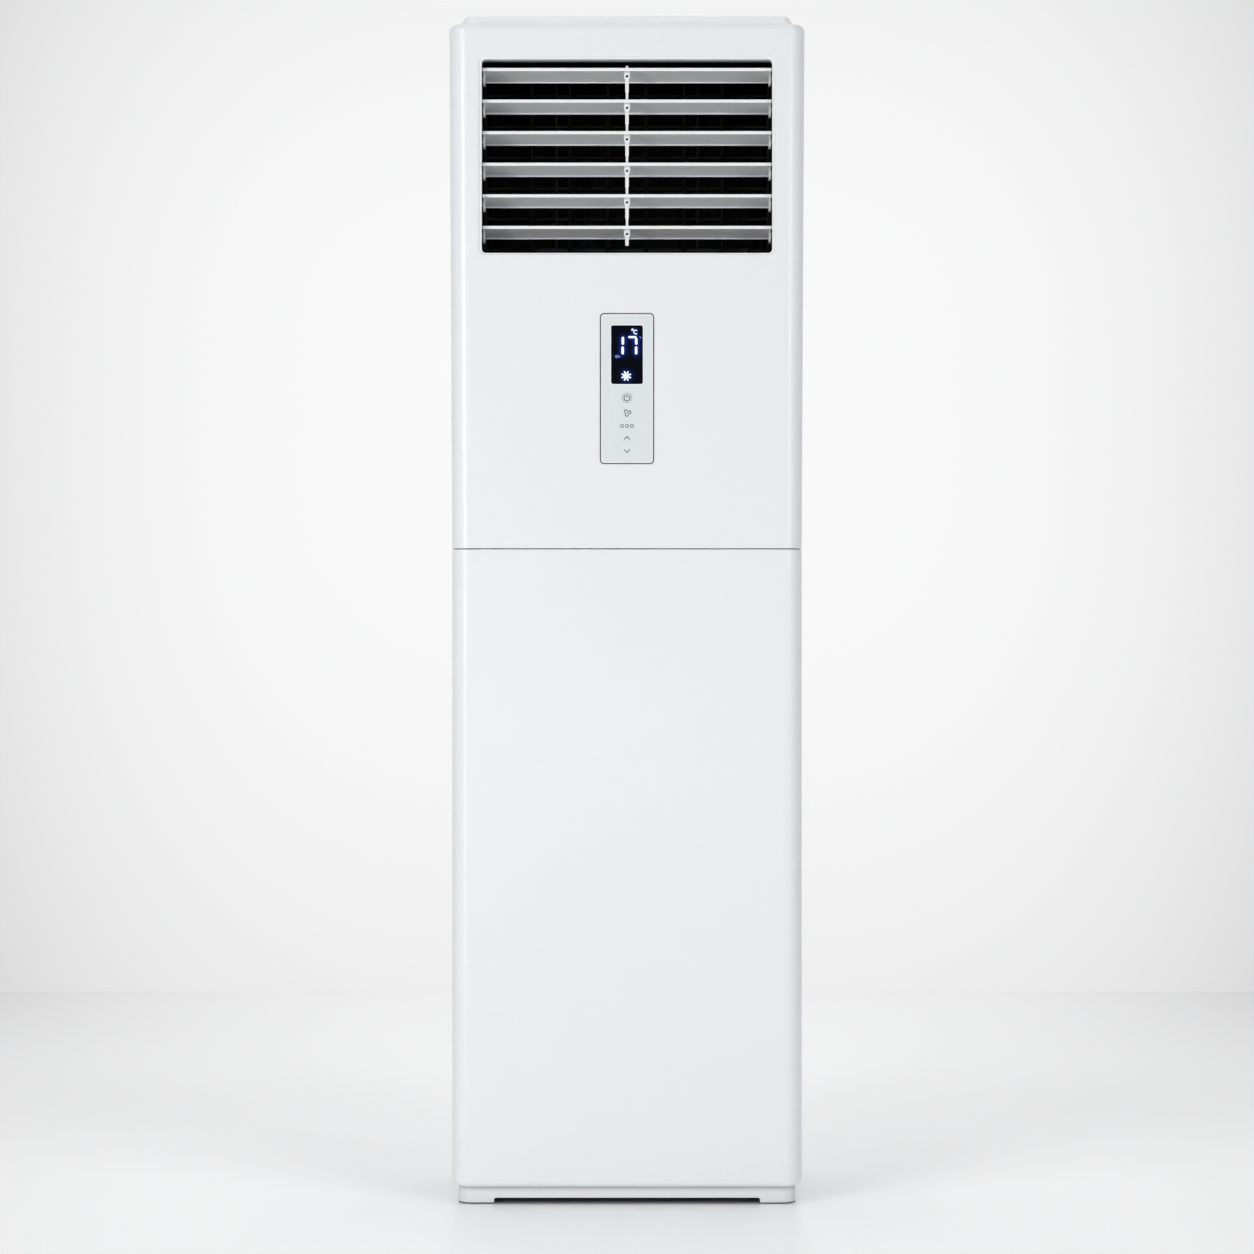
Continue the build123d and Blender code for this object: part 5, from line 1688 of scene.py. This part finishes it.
@dataclass
class CoilFins:
    """Thin fins of the coil, one plate at a time along X.

    Attributes:
        pitch: Distance between fins.
        thickness: Thickness of a fin.
    """

    pitch: float = 0.0022
    thickness: float = 0.0004

    def build(self, wardrobe: Wardrobe) -> Piece:
        """Builds the fin pack in place of the plain slab.

        Args:
            wardrobe: Where the finishes come from.

        Returns:
            The piece.
        """
        low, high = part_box("evaporator_fins")
        count = int((high.x - low.x - self.thickness) / self.pitch)
        start = -count * self.pitch / 2
        places = [(start + fin * self.pitch, 0.0, 0.0) for fin in range(count + 1)]
        piece = grown_piece(
            "coil_fin_pack",
            repeat_tree("fins on points"),
            point_mesh("fin_places", places),
            {
                "Pattern": self._fin(),
                "Turn": 0.0,
                "Seed": 3,
                "Finish": wardrobe.material(SHADED_FIN),
            },
            "cabinet",
        )
        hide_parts("evaporator_fins")
        LOG.info("coil_fin_pack: %d fins", count + 1)
        return piece

    def _fin(self) -> Piece:
        """One fin, with its middle at X 0.

        Returns:
            The fin, as an object that is in no scene.
        """
        plate = bmesh.new()
        left, right = (
            [plate.verts.new((x, y, z)) for y, z in self._section()]
            for x in (-self.thickness / 2, self.thickness / 2)
        )
        plate.faces.new(left)
        plate.faces.new(list(reversed(right)))
        wall(plate, left, right)
        return bpy.data.objects.new("fin_pattern", plain_mesh("fin_pattern", plate))

    def _section(self) -> list[Point]:
        """Corners of the plain slab.

        Returns:
            Y and Z of each, in order round it.
        """
        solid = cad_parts["evaporator_fins"].data
        found = {(round(v.co.y, 5), round(v.co.z, 5)) for v in solid.vertices}
        middle = Vector((sum(p[0] for p in found), sum(p[1] for p in found))) / len(found)
        return sorted(found, key=lambda p: math.atan2(p[1] - middle.y, p[0] - middle.x))


@dataclass
class LinkSockets:
    """Dark pin sockets in the front of the louvres' tie bar, one at each louvre.

    Attributes:
        radius: Radius of a socket.
        sides: Sides of a socket.
        sink: Socket's face behind the paddle's face.
        thickness: Thickness of the dark disc.
        first_drop: Top of the tie bar down to its first pin.
        pitch: Distance between louvres.
        count: How many louvres there are.
    """

    radius: float = 0.00185
    sides: int = 20
    sink: float = 0.0004
    thickness: float = 0.0003
    first_drop: float = 0.0150
    pitch: float = 0.0458
    count: int = 6

    def build(self, wardrobe: Wardrobe) -> Piece:
        """Builds the sockets' dark faces.

        Args:
            wardrobe: Where the finishes come from.

        Returns:
            The piece.
        """
        low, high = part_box("louvre_link")
        near = low.y + self.sink
        mesh = bmesh.new()
        for row in range(self.count):
            height = high.z - self.first_drop - row * self.pitch
            disc = circle((0.0, height), self.radius, self.sides)
            slab(mesh, disc, near, near + self.thickness)
        piece = wardrobe.piece("link_sockets", mesh, "louvre_tie_bar", INNER, "inner_black")
        LOG.info("link_sockets: %d", self.count)
        return piece


@dataclass
class OutletEdging:
    """Raised white edging of the outlet, inside its sloped border.

    Attributes:
        frame_lap: Opening's wall to the outside of the frame behind it.
        clearance: Opening's wall to the edging's inside.
        width: Width of the edging.
        sink: Panel's face to the edging's front.
        ease: How much the front's corners are eased.
        seat: Panel's face to the edging's back, inside the sloped border.
        corner: Corner radius of the opening.
    """

    frame_lap: float = 0.0045
    clearance: float = 0.0002
    width: float = 0.0018
    sink: float = 0.0016
    ease: float = 0.0005
    seat: float = 0.0039
    corner: float = 0.006

    def build(self, wardrobe: Wardrobe) -> Piece:
        """Builds the edging.

        Args:
            wardrobe: Where the finishes come from.

        Returns:
            The piece.
        """
        low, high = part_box("louvre_frame")
        centre = (low.x + high.x) / 2, (low.z + high.z) / 2
        wide, tall = high.x - low.x - 2 * self.frame_lap, high.z - low.z - 2 * self.frame_lap
        inside, outside = self.clearance, self.clearance + self.width
        front = FRONT + self.sink
        section = (
            (outside, FRONT + self.seat),
            (outside, front + self.ease),
            (outside - self.ease, front),
            (inside + self.ease, front),
            (inside, front + self.ease),
            (inside, FRONT + self.seat),
        )
        mesh = bmesh.new()
        profiled_ring(
            mesh,
            [
                (round_rectangle(centre, (wide + 2 * out, tall + 2 * out), self.corner + out), y)
                for out, y in section
            ],
        )
        piece = wardrobe.piece("outlet_edging", mesh, "cabinet", LID, "panel_white")
        LOG.info("outlet_edging: round an opening of %.4f by %.4f", wide, tall)
        return piece


@dataclass
class FootStrip:
    """Strip behind the rounded foot of the lower panel, level with its curve.

    Attributes:
        radius: Radius of the panel's foot.
        corner: Plan radius of the panel's front corners.
        low: Strip's lower edge above the panel's foot.
        high: Strip's upper edge above the panel's foot.
        back: How far behind the panel's face the strip ends.
        sink: Strip's face behind the panel's curve.
        rows: Rows of faces over the curve.
        turns: Pieces in each corner.
    """

    radius: float = 0.013
    corner: float = 0.027
    low: float = 0.0024
    high: float = 0.0056
    back: float = 0.0065
    sink: float = 0.00002
    rows: int = 8
    turns: int = 12

    def build(self, wardrobe: Wardrobe) -> Piece:
        """Builds the strip.

        Args:
            wardrobe: Where the finishes come from.

        Returns:
            The piece.
        """
        low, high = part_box("lower_front_panel")
        section = []
        for row in range(self.rows + 1):
            height = self.low + (self.high - self.low) * row / self.rows
            curve = self.radius - math.sqrt(self.radius**2 - (self.radius - height) ** 2)
            section.append((curve + self.sink, low.z + height))
        section += [(self.back, low.z + self.high), (self.back, low.z + self.low)]
        mesh = bmesh.new()
        routes = [
            [mesh.verts.new((x, y, height)) for x, y in self._route(low, high, inset)]
            for inset, height in section
        ]
        for place, first in enumerate(routes):
            second = routes[(place + 1) % len(routes)]
            for here in range(len(first) - 1):
                mesh.faces.new((first[here], first[here + 1], second[here + 1], second[here]))
        for end in (0, -1):
            mesh.faces.new([route[end] for route in routes])
        piece = wardrobe.piece("panel_foot_strip", mesh, "cabinet", PANEL, "panel_white")
        LOG.info("panel_foot_strip: %d rows", self.rows)
        return piece

    def _route(self, low: Vector, high: Vector, inset: float) -> list[Point]:
        """Plan of the panel's outline, set in.

        Args:
            low: Lowest corner of the panel's box.
            high: Highest corner of the panel's box.
            inset: How far it is set in.

        Returns:
            Its points as X and Y, from its right end to its left.
        """
        points = [(high.x - inset, high.y - self.low)]
        for side, first in ((1, 0), (-1, -90)):
            middle = (side * (high.x - self.corner), low.y + self.corner)
            for turn in range(self.turns + 1):
                angle = math.radians(first - 90 * turn / self.turns)
                points.append(around(middle, self.corner - inset, angle))
        points.append((low.x + inset, high.y - self.low))
        return points


@dataclass
class FilterCloth:
    """Open weave of one side's air filter, thread by thread.

    Attributes:
        side: Which side of the cabinet it is on.
        pitch: Distance between threads.
        thread: Thickness of a thread.
        border: Filter's edge to the weave's edge.
        sink: Filter's outer face to the middle of the threads.
    """

    side: Side
    pitch: float = 0.0032
    thread: float = 0.0006
    border: float = 0.0065
    sink: float = 0.0012

    def build(self, wardrobe: Wardrobe) -> Piece:
        """Builds the weave over the filter's plain web.

        Args:
            wardrobe: Where the finishes come from.

        Returns:
            The piece, which slides with the side's intake.
        """
        name = self.side.name.lower()
        low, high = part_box(f"{name}_filter")
        outer_x = high.x if self.side is Side.RIGHT else low.x
        corner = (outer_x - self.side.value * self.sink, low.y + self.border, low.z + self.border)
        columns = int((high.y - low.y - 2 * self.border) / self.pitch)
        rows = int((high.z - low.z - 2 * self.border) / self.pitch)
        piece = grown_piece(
            f"{name}_filter_weave",
            self._tree(f"{name} filter weave"),
            point_mesh(f"{name}_weave_corner", [corner]),
            {
                "Columns": columns + 1,
                "Rows": rows + 1,
                "Pitch": self.pitch,
                "Length": columns * self.pitch,
                "Height": rows * self.pitch,
                "Thread": self.thread,
                "Finish": wardrobe.material(NODE_FINISHES[f"{name}_filter"]),
            },
            f"{name}_intake",
        )
        LOG.info("%s: %d by %d threads", piece.name, columns + 1, rows + 1)
        return piece

    def _tree(self, name: str) -> Tree:
        """Two crossed rows of straight threads, from the seed mesh's one point.

        Args:
            name: The tree's name.

        Returns:
            The tree. Its inputs are Columns, Rows, Pitch, Length, Height, Thread and Finish.
        """
        tree = geometry_tree(
            name,
            [
                ("Columns", WHOLE, 60),
                ("Rows", WHOLE, 200),
                ("Pitch", FLOAT, 0.003),
                ("Length", FLOAT, 0.2),
                ("Height", FLOAT, 0.6),
                ("Thread", FLOAT, 0.0006),
                ("Finish", FINISH, None),
            ],
        )
        given = tree.nodes.new("NodeGroupInput").outputs
        joined = node(tree, "GeometryNodeJoinGeometry")
        thread = given["Thread"]
        for count, step, along, long in (
            ("Columns", "Y", "Z", given["Height"]),
            ("Rows", "Z", "Y", given["Length"]),
        ):
            stride = node(tree, "ShaderNodeCombineXYZ", **{step: given["Pitch"]})
            row = node(
                tree,
                "GeometryNodeMeshLine",
                Count=given[count],
                Offset=stride.outputs["Vector"],
            )
            extent = node(tree, "ShaderNodeCombineXYZ", **{"X": thread, step: thread, along: long})
            box = node(tree, "GeometryNodeMeshCube", Size=extent.outputs["Vector"])
            half = maths(tree, "MULTIPLY", long, 0.5)
            moved = node(
                tree,
                "GeometryNodeTransform",
                Geometry=box.outputs["Mesh"],
                Translation=node(tree, "ShaderNodeCombineXYZ", **{along: half}).outputs["Vector"],
            )
            laid = node(
                tree,
                "GeometryNodeInstanceOnPoints",
                Points=row.outputs["Mesh"],
                Instance=moved.outputs["Geometry"],
            )
            feed(tree, joined, Geometry=realised(tree, laid.outputs["Instances"]))
        seat = node(
            tree,
            "GeometryNodeInstanceOnPoints",
            Points=given["Geometry"],
            Instance=joined.outputs["Geometry"],
        )
        end_tree(tree, seat.outputs["Instances"], given["Finish"])
        return tree


# ---------------------------------------------------------------- studio
class Lights(Enum):
    """What a lamp lights."""

    ALL = "everything"
    FLOOR = "floor alone"
    OBJECT = "all but the floor"


@dataclass(frozen=True)
class Lamp:
    """One soft rectangular lamp that looks at a point.

    Attributes:
        name: The lamp's name.
        place: Where it stands.
        size: Its width and height.
        power: Its power, in watts.
        aim: The point that it looks at.
        lights: What it lights.
    """

    name: str
    place: Place
    size: Point
    power: float
    aim: Place = (0.0, 0.0, 0.9)
    lights: Lights = Lights.ALL

    def build(self, linked: dict[Lights, bpy.types.Collection]) -> None:
        """Hangs the lamp.

        Args:
            linked: The collection that carries out each choice but everything.
        """
        data = bpy.data.lights.new(self.name, "AREA")
        data.shape = "RECTANGLE"
        data.size, data.size_y = self.size
        data.energy = self.power
        lamp = bpy.data.objects.new(self.name, data)
        lamp.location = self.place
        lamp.rotation_mode = "QUATERNION"
        sight = Vector(self.aim) - Vector(self.place)
        lamp.rotation_quaternion = sight.to_track_quat("-Z", "Y")
        lamp.visible_camera = False
        if self.lights in linked:
            lamp.light_linking.receiver_collection = linked[self.lights]
        bpy.context.scene.collection.objects.link(lamp)


GROUND: Place = (0.0, 0.0, 0.0)
LAMPS = (
    Lamp("lamp_left", (-3.0, -4.4, 2.2), (1.4, 2.4), 69.0),
    Lamp("lamp_right", (3.0, -4.4, 2.2), (1.4, 2.4), 46.0),
    Lamp("lamp_strip_left", (-1.7, -2.4, 0.9), (0.3, 1.8), 12.0, lights=Lights.OBJECT),
    Lamp("lamp_strip_right", (2.9, -4.0, 0.9), (0.35, 1.8), 9.0, lights=Lights.OBJECT),
    Lamp("lamp_low", (0.0, -4.6, 0.5), (2.4, 0.5), 8.5, (0.0, 0.0, 0.15), Lights.OBJECT),
    Lamp("lamp_top", (0.0, 0.4, 4.4), (3.0, 3.0), 31.0),
    Lamp("lamp_back_left", (-3.2, 4.0, 2.3), (2.0, 2.0), 31.0),
    Lamp("lamp_back_right", (3.2, 4.0, 2.3), (2.0, 2.0), 31.0),
    Lamp("lamp_floor_left", (-1.5, -1.5, 4.7), (0.9, 0.9), 25.0, GROUND, Lights.FLOOR),
    Lamp("lamp_floor_right", (1.5, -1.5, 4.7), (0.9, 0.9), 25.0, GROUND, Lights.FLOOR),
    Lamp("lamp_floor_back", (0.0, 1.7, 4.0), (1.2, 1.2), 12.0, GROUND, Lights.FLOOR),
)


@dataclass
class Studio:
    """Pale floor, backdrop, soft lamps and the camera.

    Attributes:
        eye_height: Height of the camera.
        eye_distance: Camera to the panels' face.
        view_width: Width of the frame at the panels' face.
        sensor: Width of the camera's sensor, in millimetres.
        floor_colour: Colour of the floor.
        floor_half: Half the floor's side.
        floor_roughness: Roughness of the floor.
        floor_specular: Strength of its reflections.
        footprint: Half width and half depth of the floor that the object covers.
        under: How much darker the covered floor is, as painted contact shadow.
        under_edge: Where that starts and ends, outwards from the footprint's edge.
        corner_reach: Y at which painted shade starts at the floor's far corners, and Y of the most.
        corner_dip: How fast it darkens there.
        corner_most: Most that it darkens there.
        near_reach: Y at which painted shade starts on the floor under the front lamps, and Y of the
            most.
        near_dip: Most that it darkens there.
        glow: Light of the floor itself.
        glow_reach: Where that starts and is full, outwards from the footprint's edge.
        far_glow: What it has more far from the object, where no lamp reaches.
        far_reach: Distance from the object at which that starts, and at which it is full.
        wall_depth: Backdrop's distance behind the object's middle.
        wall_colour: Colour of the backdrop.
        wall_sides: Power and rate at which it darkens sideways.
        wall_above: Height from which it darkens upwards, and the rate.
        wall_below: Height from which it darkens downwards, and the rate.
        wall_most: Most that it darkens.
        wall_fade: Distance aside at which it starts to fade out, and at which it is gone.
        air: Colour and strength of the ambient light.
        beyond: Colour and strength of what the camera sees past the floor.
    """

    eye_height: float = 0.836
    eye_distance: float = 4.5
    view_width: float = 1.812
    sensor: float = 36.0
    floor_colour: Colour = (0.955, 0.955, 0.96)
    floor_half: float = 14.0
    floor_roughness: float = 0.3
    floor_specular: float = 0.35
    footprint: Point = (0.24, 0.15)
    under: float = 0.8
    under_edge: Point = (-0.03, 0.006)
    corner_reach: Point = (-0.5, 2.4)
    corner_dip: float = 0.045
    corner_most: float = 0.14
    near_reach: Point = (-0.9, -2.6)
    near_dip: float = 0.2
    glow: float = 0.03
    glow_reach: Point = (0.0, 0.4)
    far_glow: float = 0.28
    far_reach: Point = (2.9, 6.5)
    wall_depth: float = 2.48
    wall_colour: Colour = (0.95, 0.95, 0.957)
    wall_sides: Point = (3.6, 0.042)
    wall_above: Point = (1.5, 0.109)
    wall_below: Point = (1.2, 0.068)
    wall_most: float = 0.3
    wall_fade: Point = (3.0, 7.0)
    air: tuple[Colour, float] = ((0.98, 0.99, 1.0), 0.25)
    beyond: tuple[Colour, float] = ((0.84, 0.845, 0.855), 1.0)

    def build(self) -> None:
        """Builds the whole set."""
        self._camera()
        floor = self._floor()
        self._wall()
        self._world()
        self._lamps(floor)

    def _camera(self) -> None:
        """Level camera, straight in front."""
        data = bpy.data.cameras.new("camera")
        data.sensor_width = self.sensor
        data.lens = self.sensor * self.eye_distance / self.view_width
        camera = bpy.data.objects.new("camera", data)
        camera.location = (0.0, FRONT - self.eye_distance, self.eye_height)
        camera.rotation_euler = (math.radians(90.0), 0.0, 0.0)
        bpy.context.scene.collection.objects.link(camera)
        bpy.context.scene.camera = camera

    def _plane(self, name: str, corners: Sequence[Place]) -> Piece:
        """Adds a four-cornered stage piece.

        Args:
            name: Its name.
            corners: Its corners in order.

        Returns:
            The new object.
        """
        data = bpy.data.meshes.new(name)
        data.from_pydata(list(corners), [], [(0, 1, 2, 3)])
        plane = bpy.data.objects.new(name, data)
        bpy.context.scene.collection.objects.link(plane)
        return plane

    def _floor(self) -> Piece:
        """Pale satin floor with a faint reflection and painted shade.

        Returns:
            The floor.
        """
        half = self.floor_half
        floor = self._plane(
            "floor", [(-half, -half, 0), (half, -half, 0), (half, half, 0), (-half, half, 0)]
        )
        material, tree, shader = blank_material("studio floor")
        parts = place_parts(tree)
        # painted shade that darkens the floor towards its far corners
        aside = maths(tree, "POWER", maths(tree, "ABSOLUTE", parts["X"]), 3.0)
        dip = maths(tree, "MULTIPLY", aside, ramp(tree, parts["Y"], *self.corner_reach))
        dip = maths(tree, "MULTIPLY", dip, self.corner_dip)
        dip = maths(tree, "MINIMUM", dip, self.corner_most)
        # painted shade on the floor under the front lamps, which is the best lit; only views from
        # above show it
        near = ramp(tree, parts["Y"], *self.near_reach, self.near_dip)
        dip = maths(tree, "MAXIMUM", dip, near)
        drift = placed(tree, DRIFT, Colour=self.floor_colour, Scale=0.8, Drift=0.01)
        tone = blend_colours(tree, dip, drift["Colour"], BLACK)
        aside_edge, past_edge = (
            maths(tree, "SUBTRACT", maths(tree, "ABSOLUTE", parts[axis]), reach)
            for axis, reach in zip("XY", self.footprint)
        )
        away = maths(tree, "MAXIMUM", aside_edge, past_edge)
        # painted contact shadow on the floor under the object
        covered = maths(tree, "SUBTRACT", 1.0, ramp(tree, away, *self.under_edge))
        covered = maths(tree, "MULTIPLY", covered, self.under)
        square = maths(tree, "MULTIPLY", parts["X"], parts["X"])
        square = maths(tree, "MULTIPLY_ADD", parts["Y"], parts["Y"], square)
        distant = ramp(tree, maths(tree, "SQRT", square), *self.far_reach)
        open_floor = ramp(tree, away, *self.glow_reach)
        feed(
            tree,
            shader,
            Base_Color=blend_colours(tree, covered, tone, BLACK),
            Emission_Color=blend_colours(tree, open_floor, BLACK, tone),
            Emission_Strength=maths(tree, "MULTIPLY_ADD", distant, self.far_glow, self.glow),
            Roughness=self.floor_roughness,
            Specular_IOR_Level=self.floor_specular,
        )
        floor.data.materials.append(material)
        return floor

    def _wall(self) -> None:
        """Backdrop that is only there for what looks from the front, and fades out sideways."""
        y = self.wall_depth
        wall_plane = self._plane("backdrop", [(-12, y, 0), (12, y, 0), (12, y, 9), (-12, y, 9)])
        material = bpy.data.materials.new("studio backdrop")
        material.use_nodes = True
        tree = material.node_tree
        tree.nodes.clear()
        parts = place_parts(tree)
        aside = maths(tree, "ABSOLUTE", parts["X"])
        # painted shade: the glowing backdrop darkens towards its sides, its top and its foot
        power, rate = self.wall_sides
        dim = maths(tree, "MULTIPLY", maths(tree, "POWER", aside, power), rate)
        high, high_rate = self.wall_above
        low, low_rate = self.wall_below
        for upper, lower, rate in ((parts["Z"], high, high_rate), (low, parts["Z"], low_rate)):
            past = maths(tree, "MAXIMUM", maths(tree, "SUBTRACT", upper, lower), 0.0)
            dim = maths(tree, "MULTIPLY_ADD", maths(tree, "POWER", past, 2.0), rate, dim)
        dim = maths(tree, "MINIMUM", dim, self.wall_most)
        tone = blend_colours(tree, dim, self.wall_colour, BLACK)
        glow = node(tree, "ShaderNodeEmission", Color=tone).outputs["Emission"]
        clear = node(tree, "ShaderNodeBsdfTransparent").outputs["BSDF"]
        behind = node(tree, "ShaderNodeNewGeometry").outputs["Backfacing"]
        hidden = maths(tree, "MAXIMUM", ramp(tree, aside, *self.wall_fade), behind)
        self._end(tree, "ShaderNodeOutputMaterial", hidden, glow, clear)
        wall_plane.data.materials.append(material)

    def _end(self, tree: Tree, kind: str, share: Socket, first: Socket, second: Socket) -> None:
        """Puts out two shaders mixed.

        Args:
            tree: The material's or the world's tree.
            kind: Type name of its output node.
            share: How much of the second shader there is.
            first: The shader at 0.
            second: The shader at 1.
        """
        mix = node(tree, "ShaderNodeMixShader", Fac=share)
        tree.links.new(first, mix.inputs[1])
        tree.links.new(second, mix.inputs[2])
        node(tree, kind, Surface=mix.outputs["Shader"])

    def _world(self) -> None:
        """Even ambient light, and a pale grey for what the camera sees past the floor."""
        world = bpy.data.worlds.new("studio air")
        world.use_nodes = True
        tree = world.node_tree
        tree.nodes.clear()
        path = node(tree, "ShaderNodeLightPath").outputs
        seen = maths(tree, "MAXIMUM", path["Is Camera Ray"], path["Is Glossy Ray"])
        seen = maths(tree, "MAXIMUM", seen, path["Is Transmission Ray"])
        ambient, shown = (
            node(tree, "ShaderNodeBackground", Color=colour, Strength=strength).outputs[0]
            for colour, strength in (self.air, self.beyond)
        )
        self._end(tree, "ShaderNodeOutputWorld", seen, ambient, shown)
        bpy.context.scene.world = world

    def _lamps(self, floor: Piece) -> None:
        """Soft lamps all round, brightest in front and on the left.

        Args:
            floor: The floor, which some lamps light alone and others leave out.
        """
        linked = {}
        for lights in (Lights.FLOOR, Lights.OBJECT):
            linked[lights] = bpy.data.collections.new(lights.value)
            linked[lights].objects.link(floor)
        left_out = linked[Lights.OBJECT].collection_objects[0]
        left_out.light_linking.link_state = "EXCLUDE"
        for lamp in LAMPS:
            lamp.build(linked)


def main() -> None:
    """Builds everything in order."""
    logging.basicConfig(level=logging.INFO, format="%(name)s %(message)s")
    scene = bpy.context.scene
    scene.view_settings.view_transform = "Standard"
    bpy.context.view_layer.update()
    wardrobe = Wardrobe()
    Studio().build()
    wardrobe.dress_nodes()
    CaseScrews().build(wardrobe)
    ControlFace().build(wardrobe)
    CoilFins().build(wardrobe)
    LinkSockets().build(wardrobe)
    OutletEdging().build(wardrobe)
    FootStrip().build(wardrobe)
    for side in Side:
        FilterCloth(side).build(wardrobe)


if __name__ == "__main__":
    main()
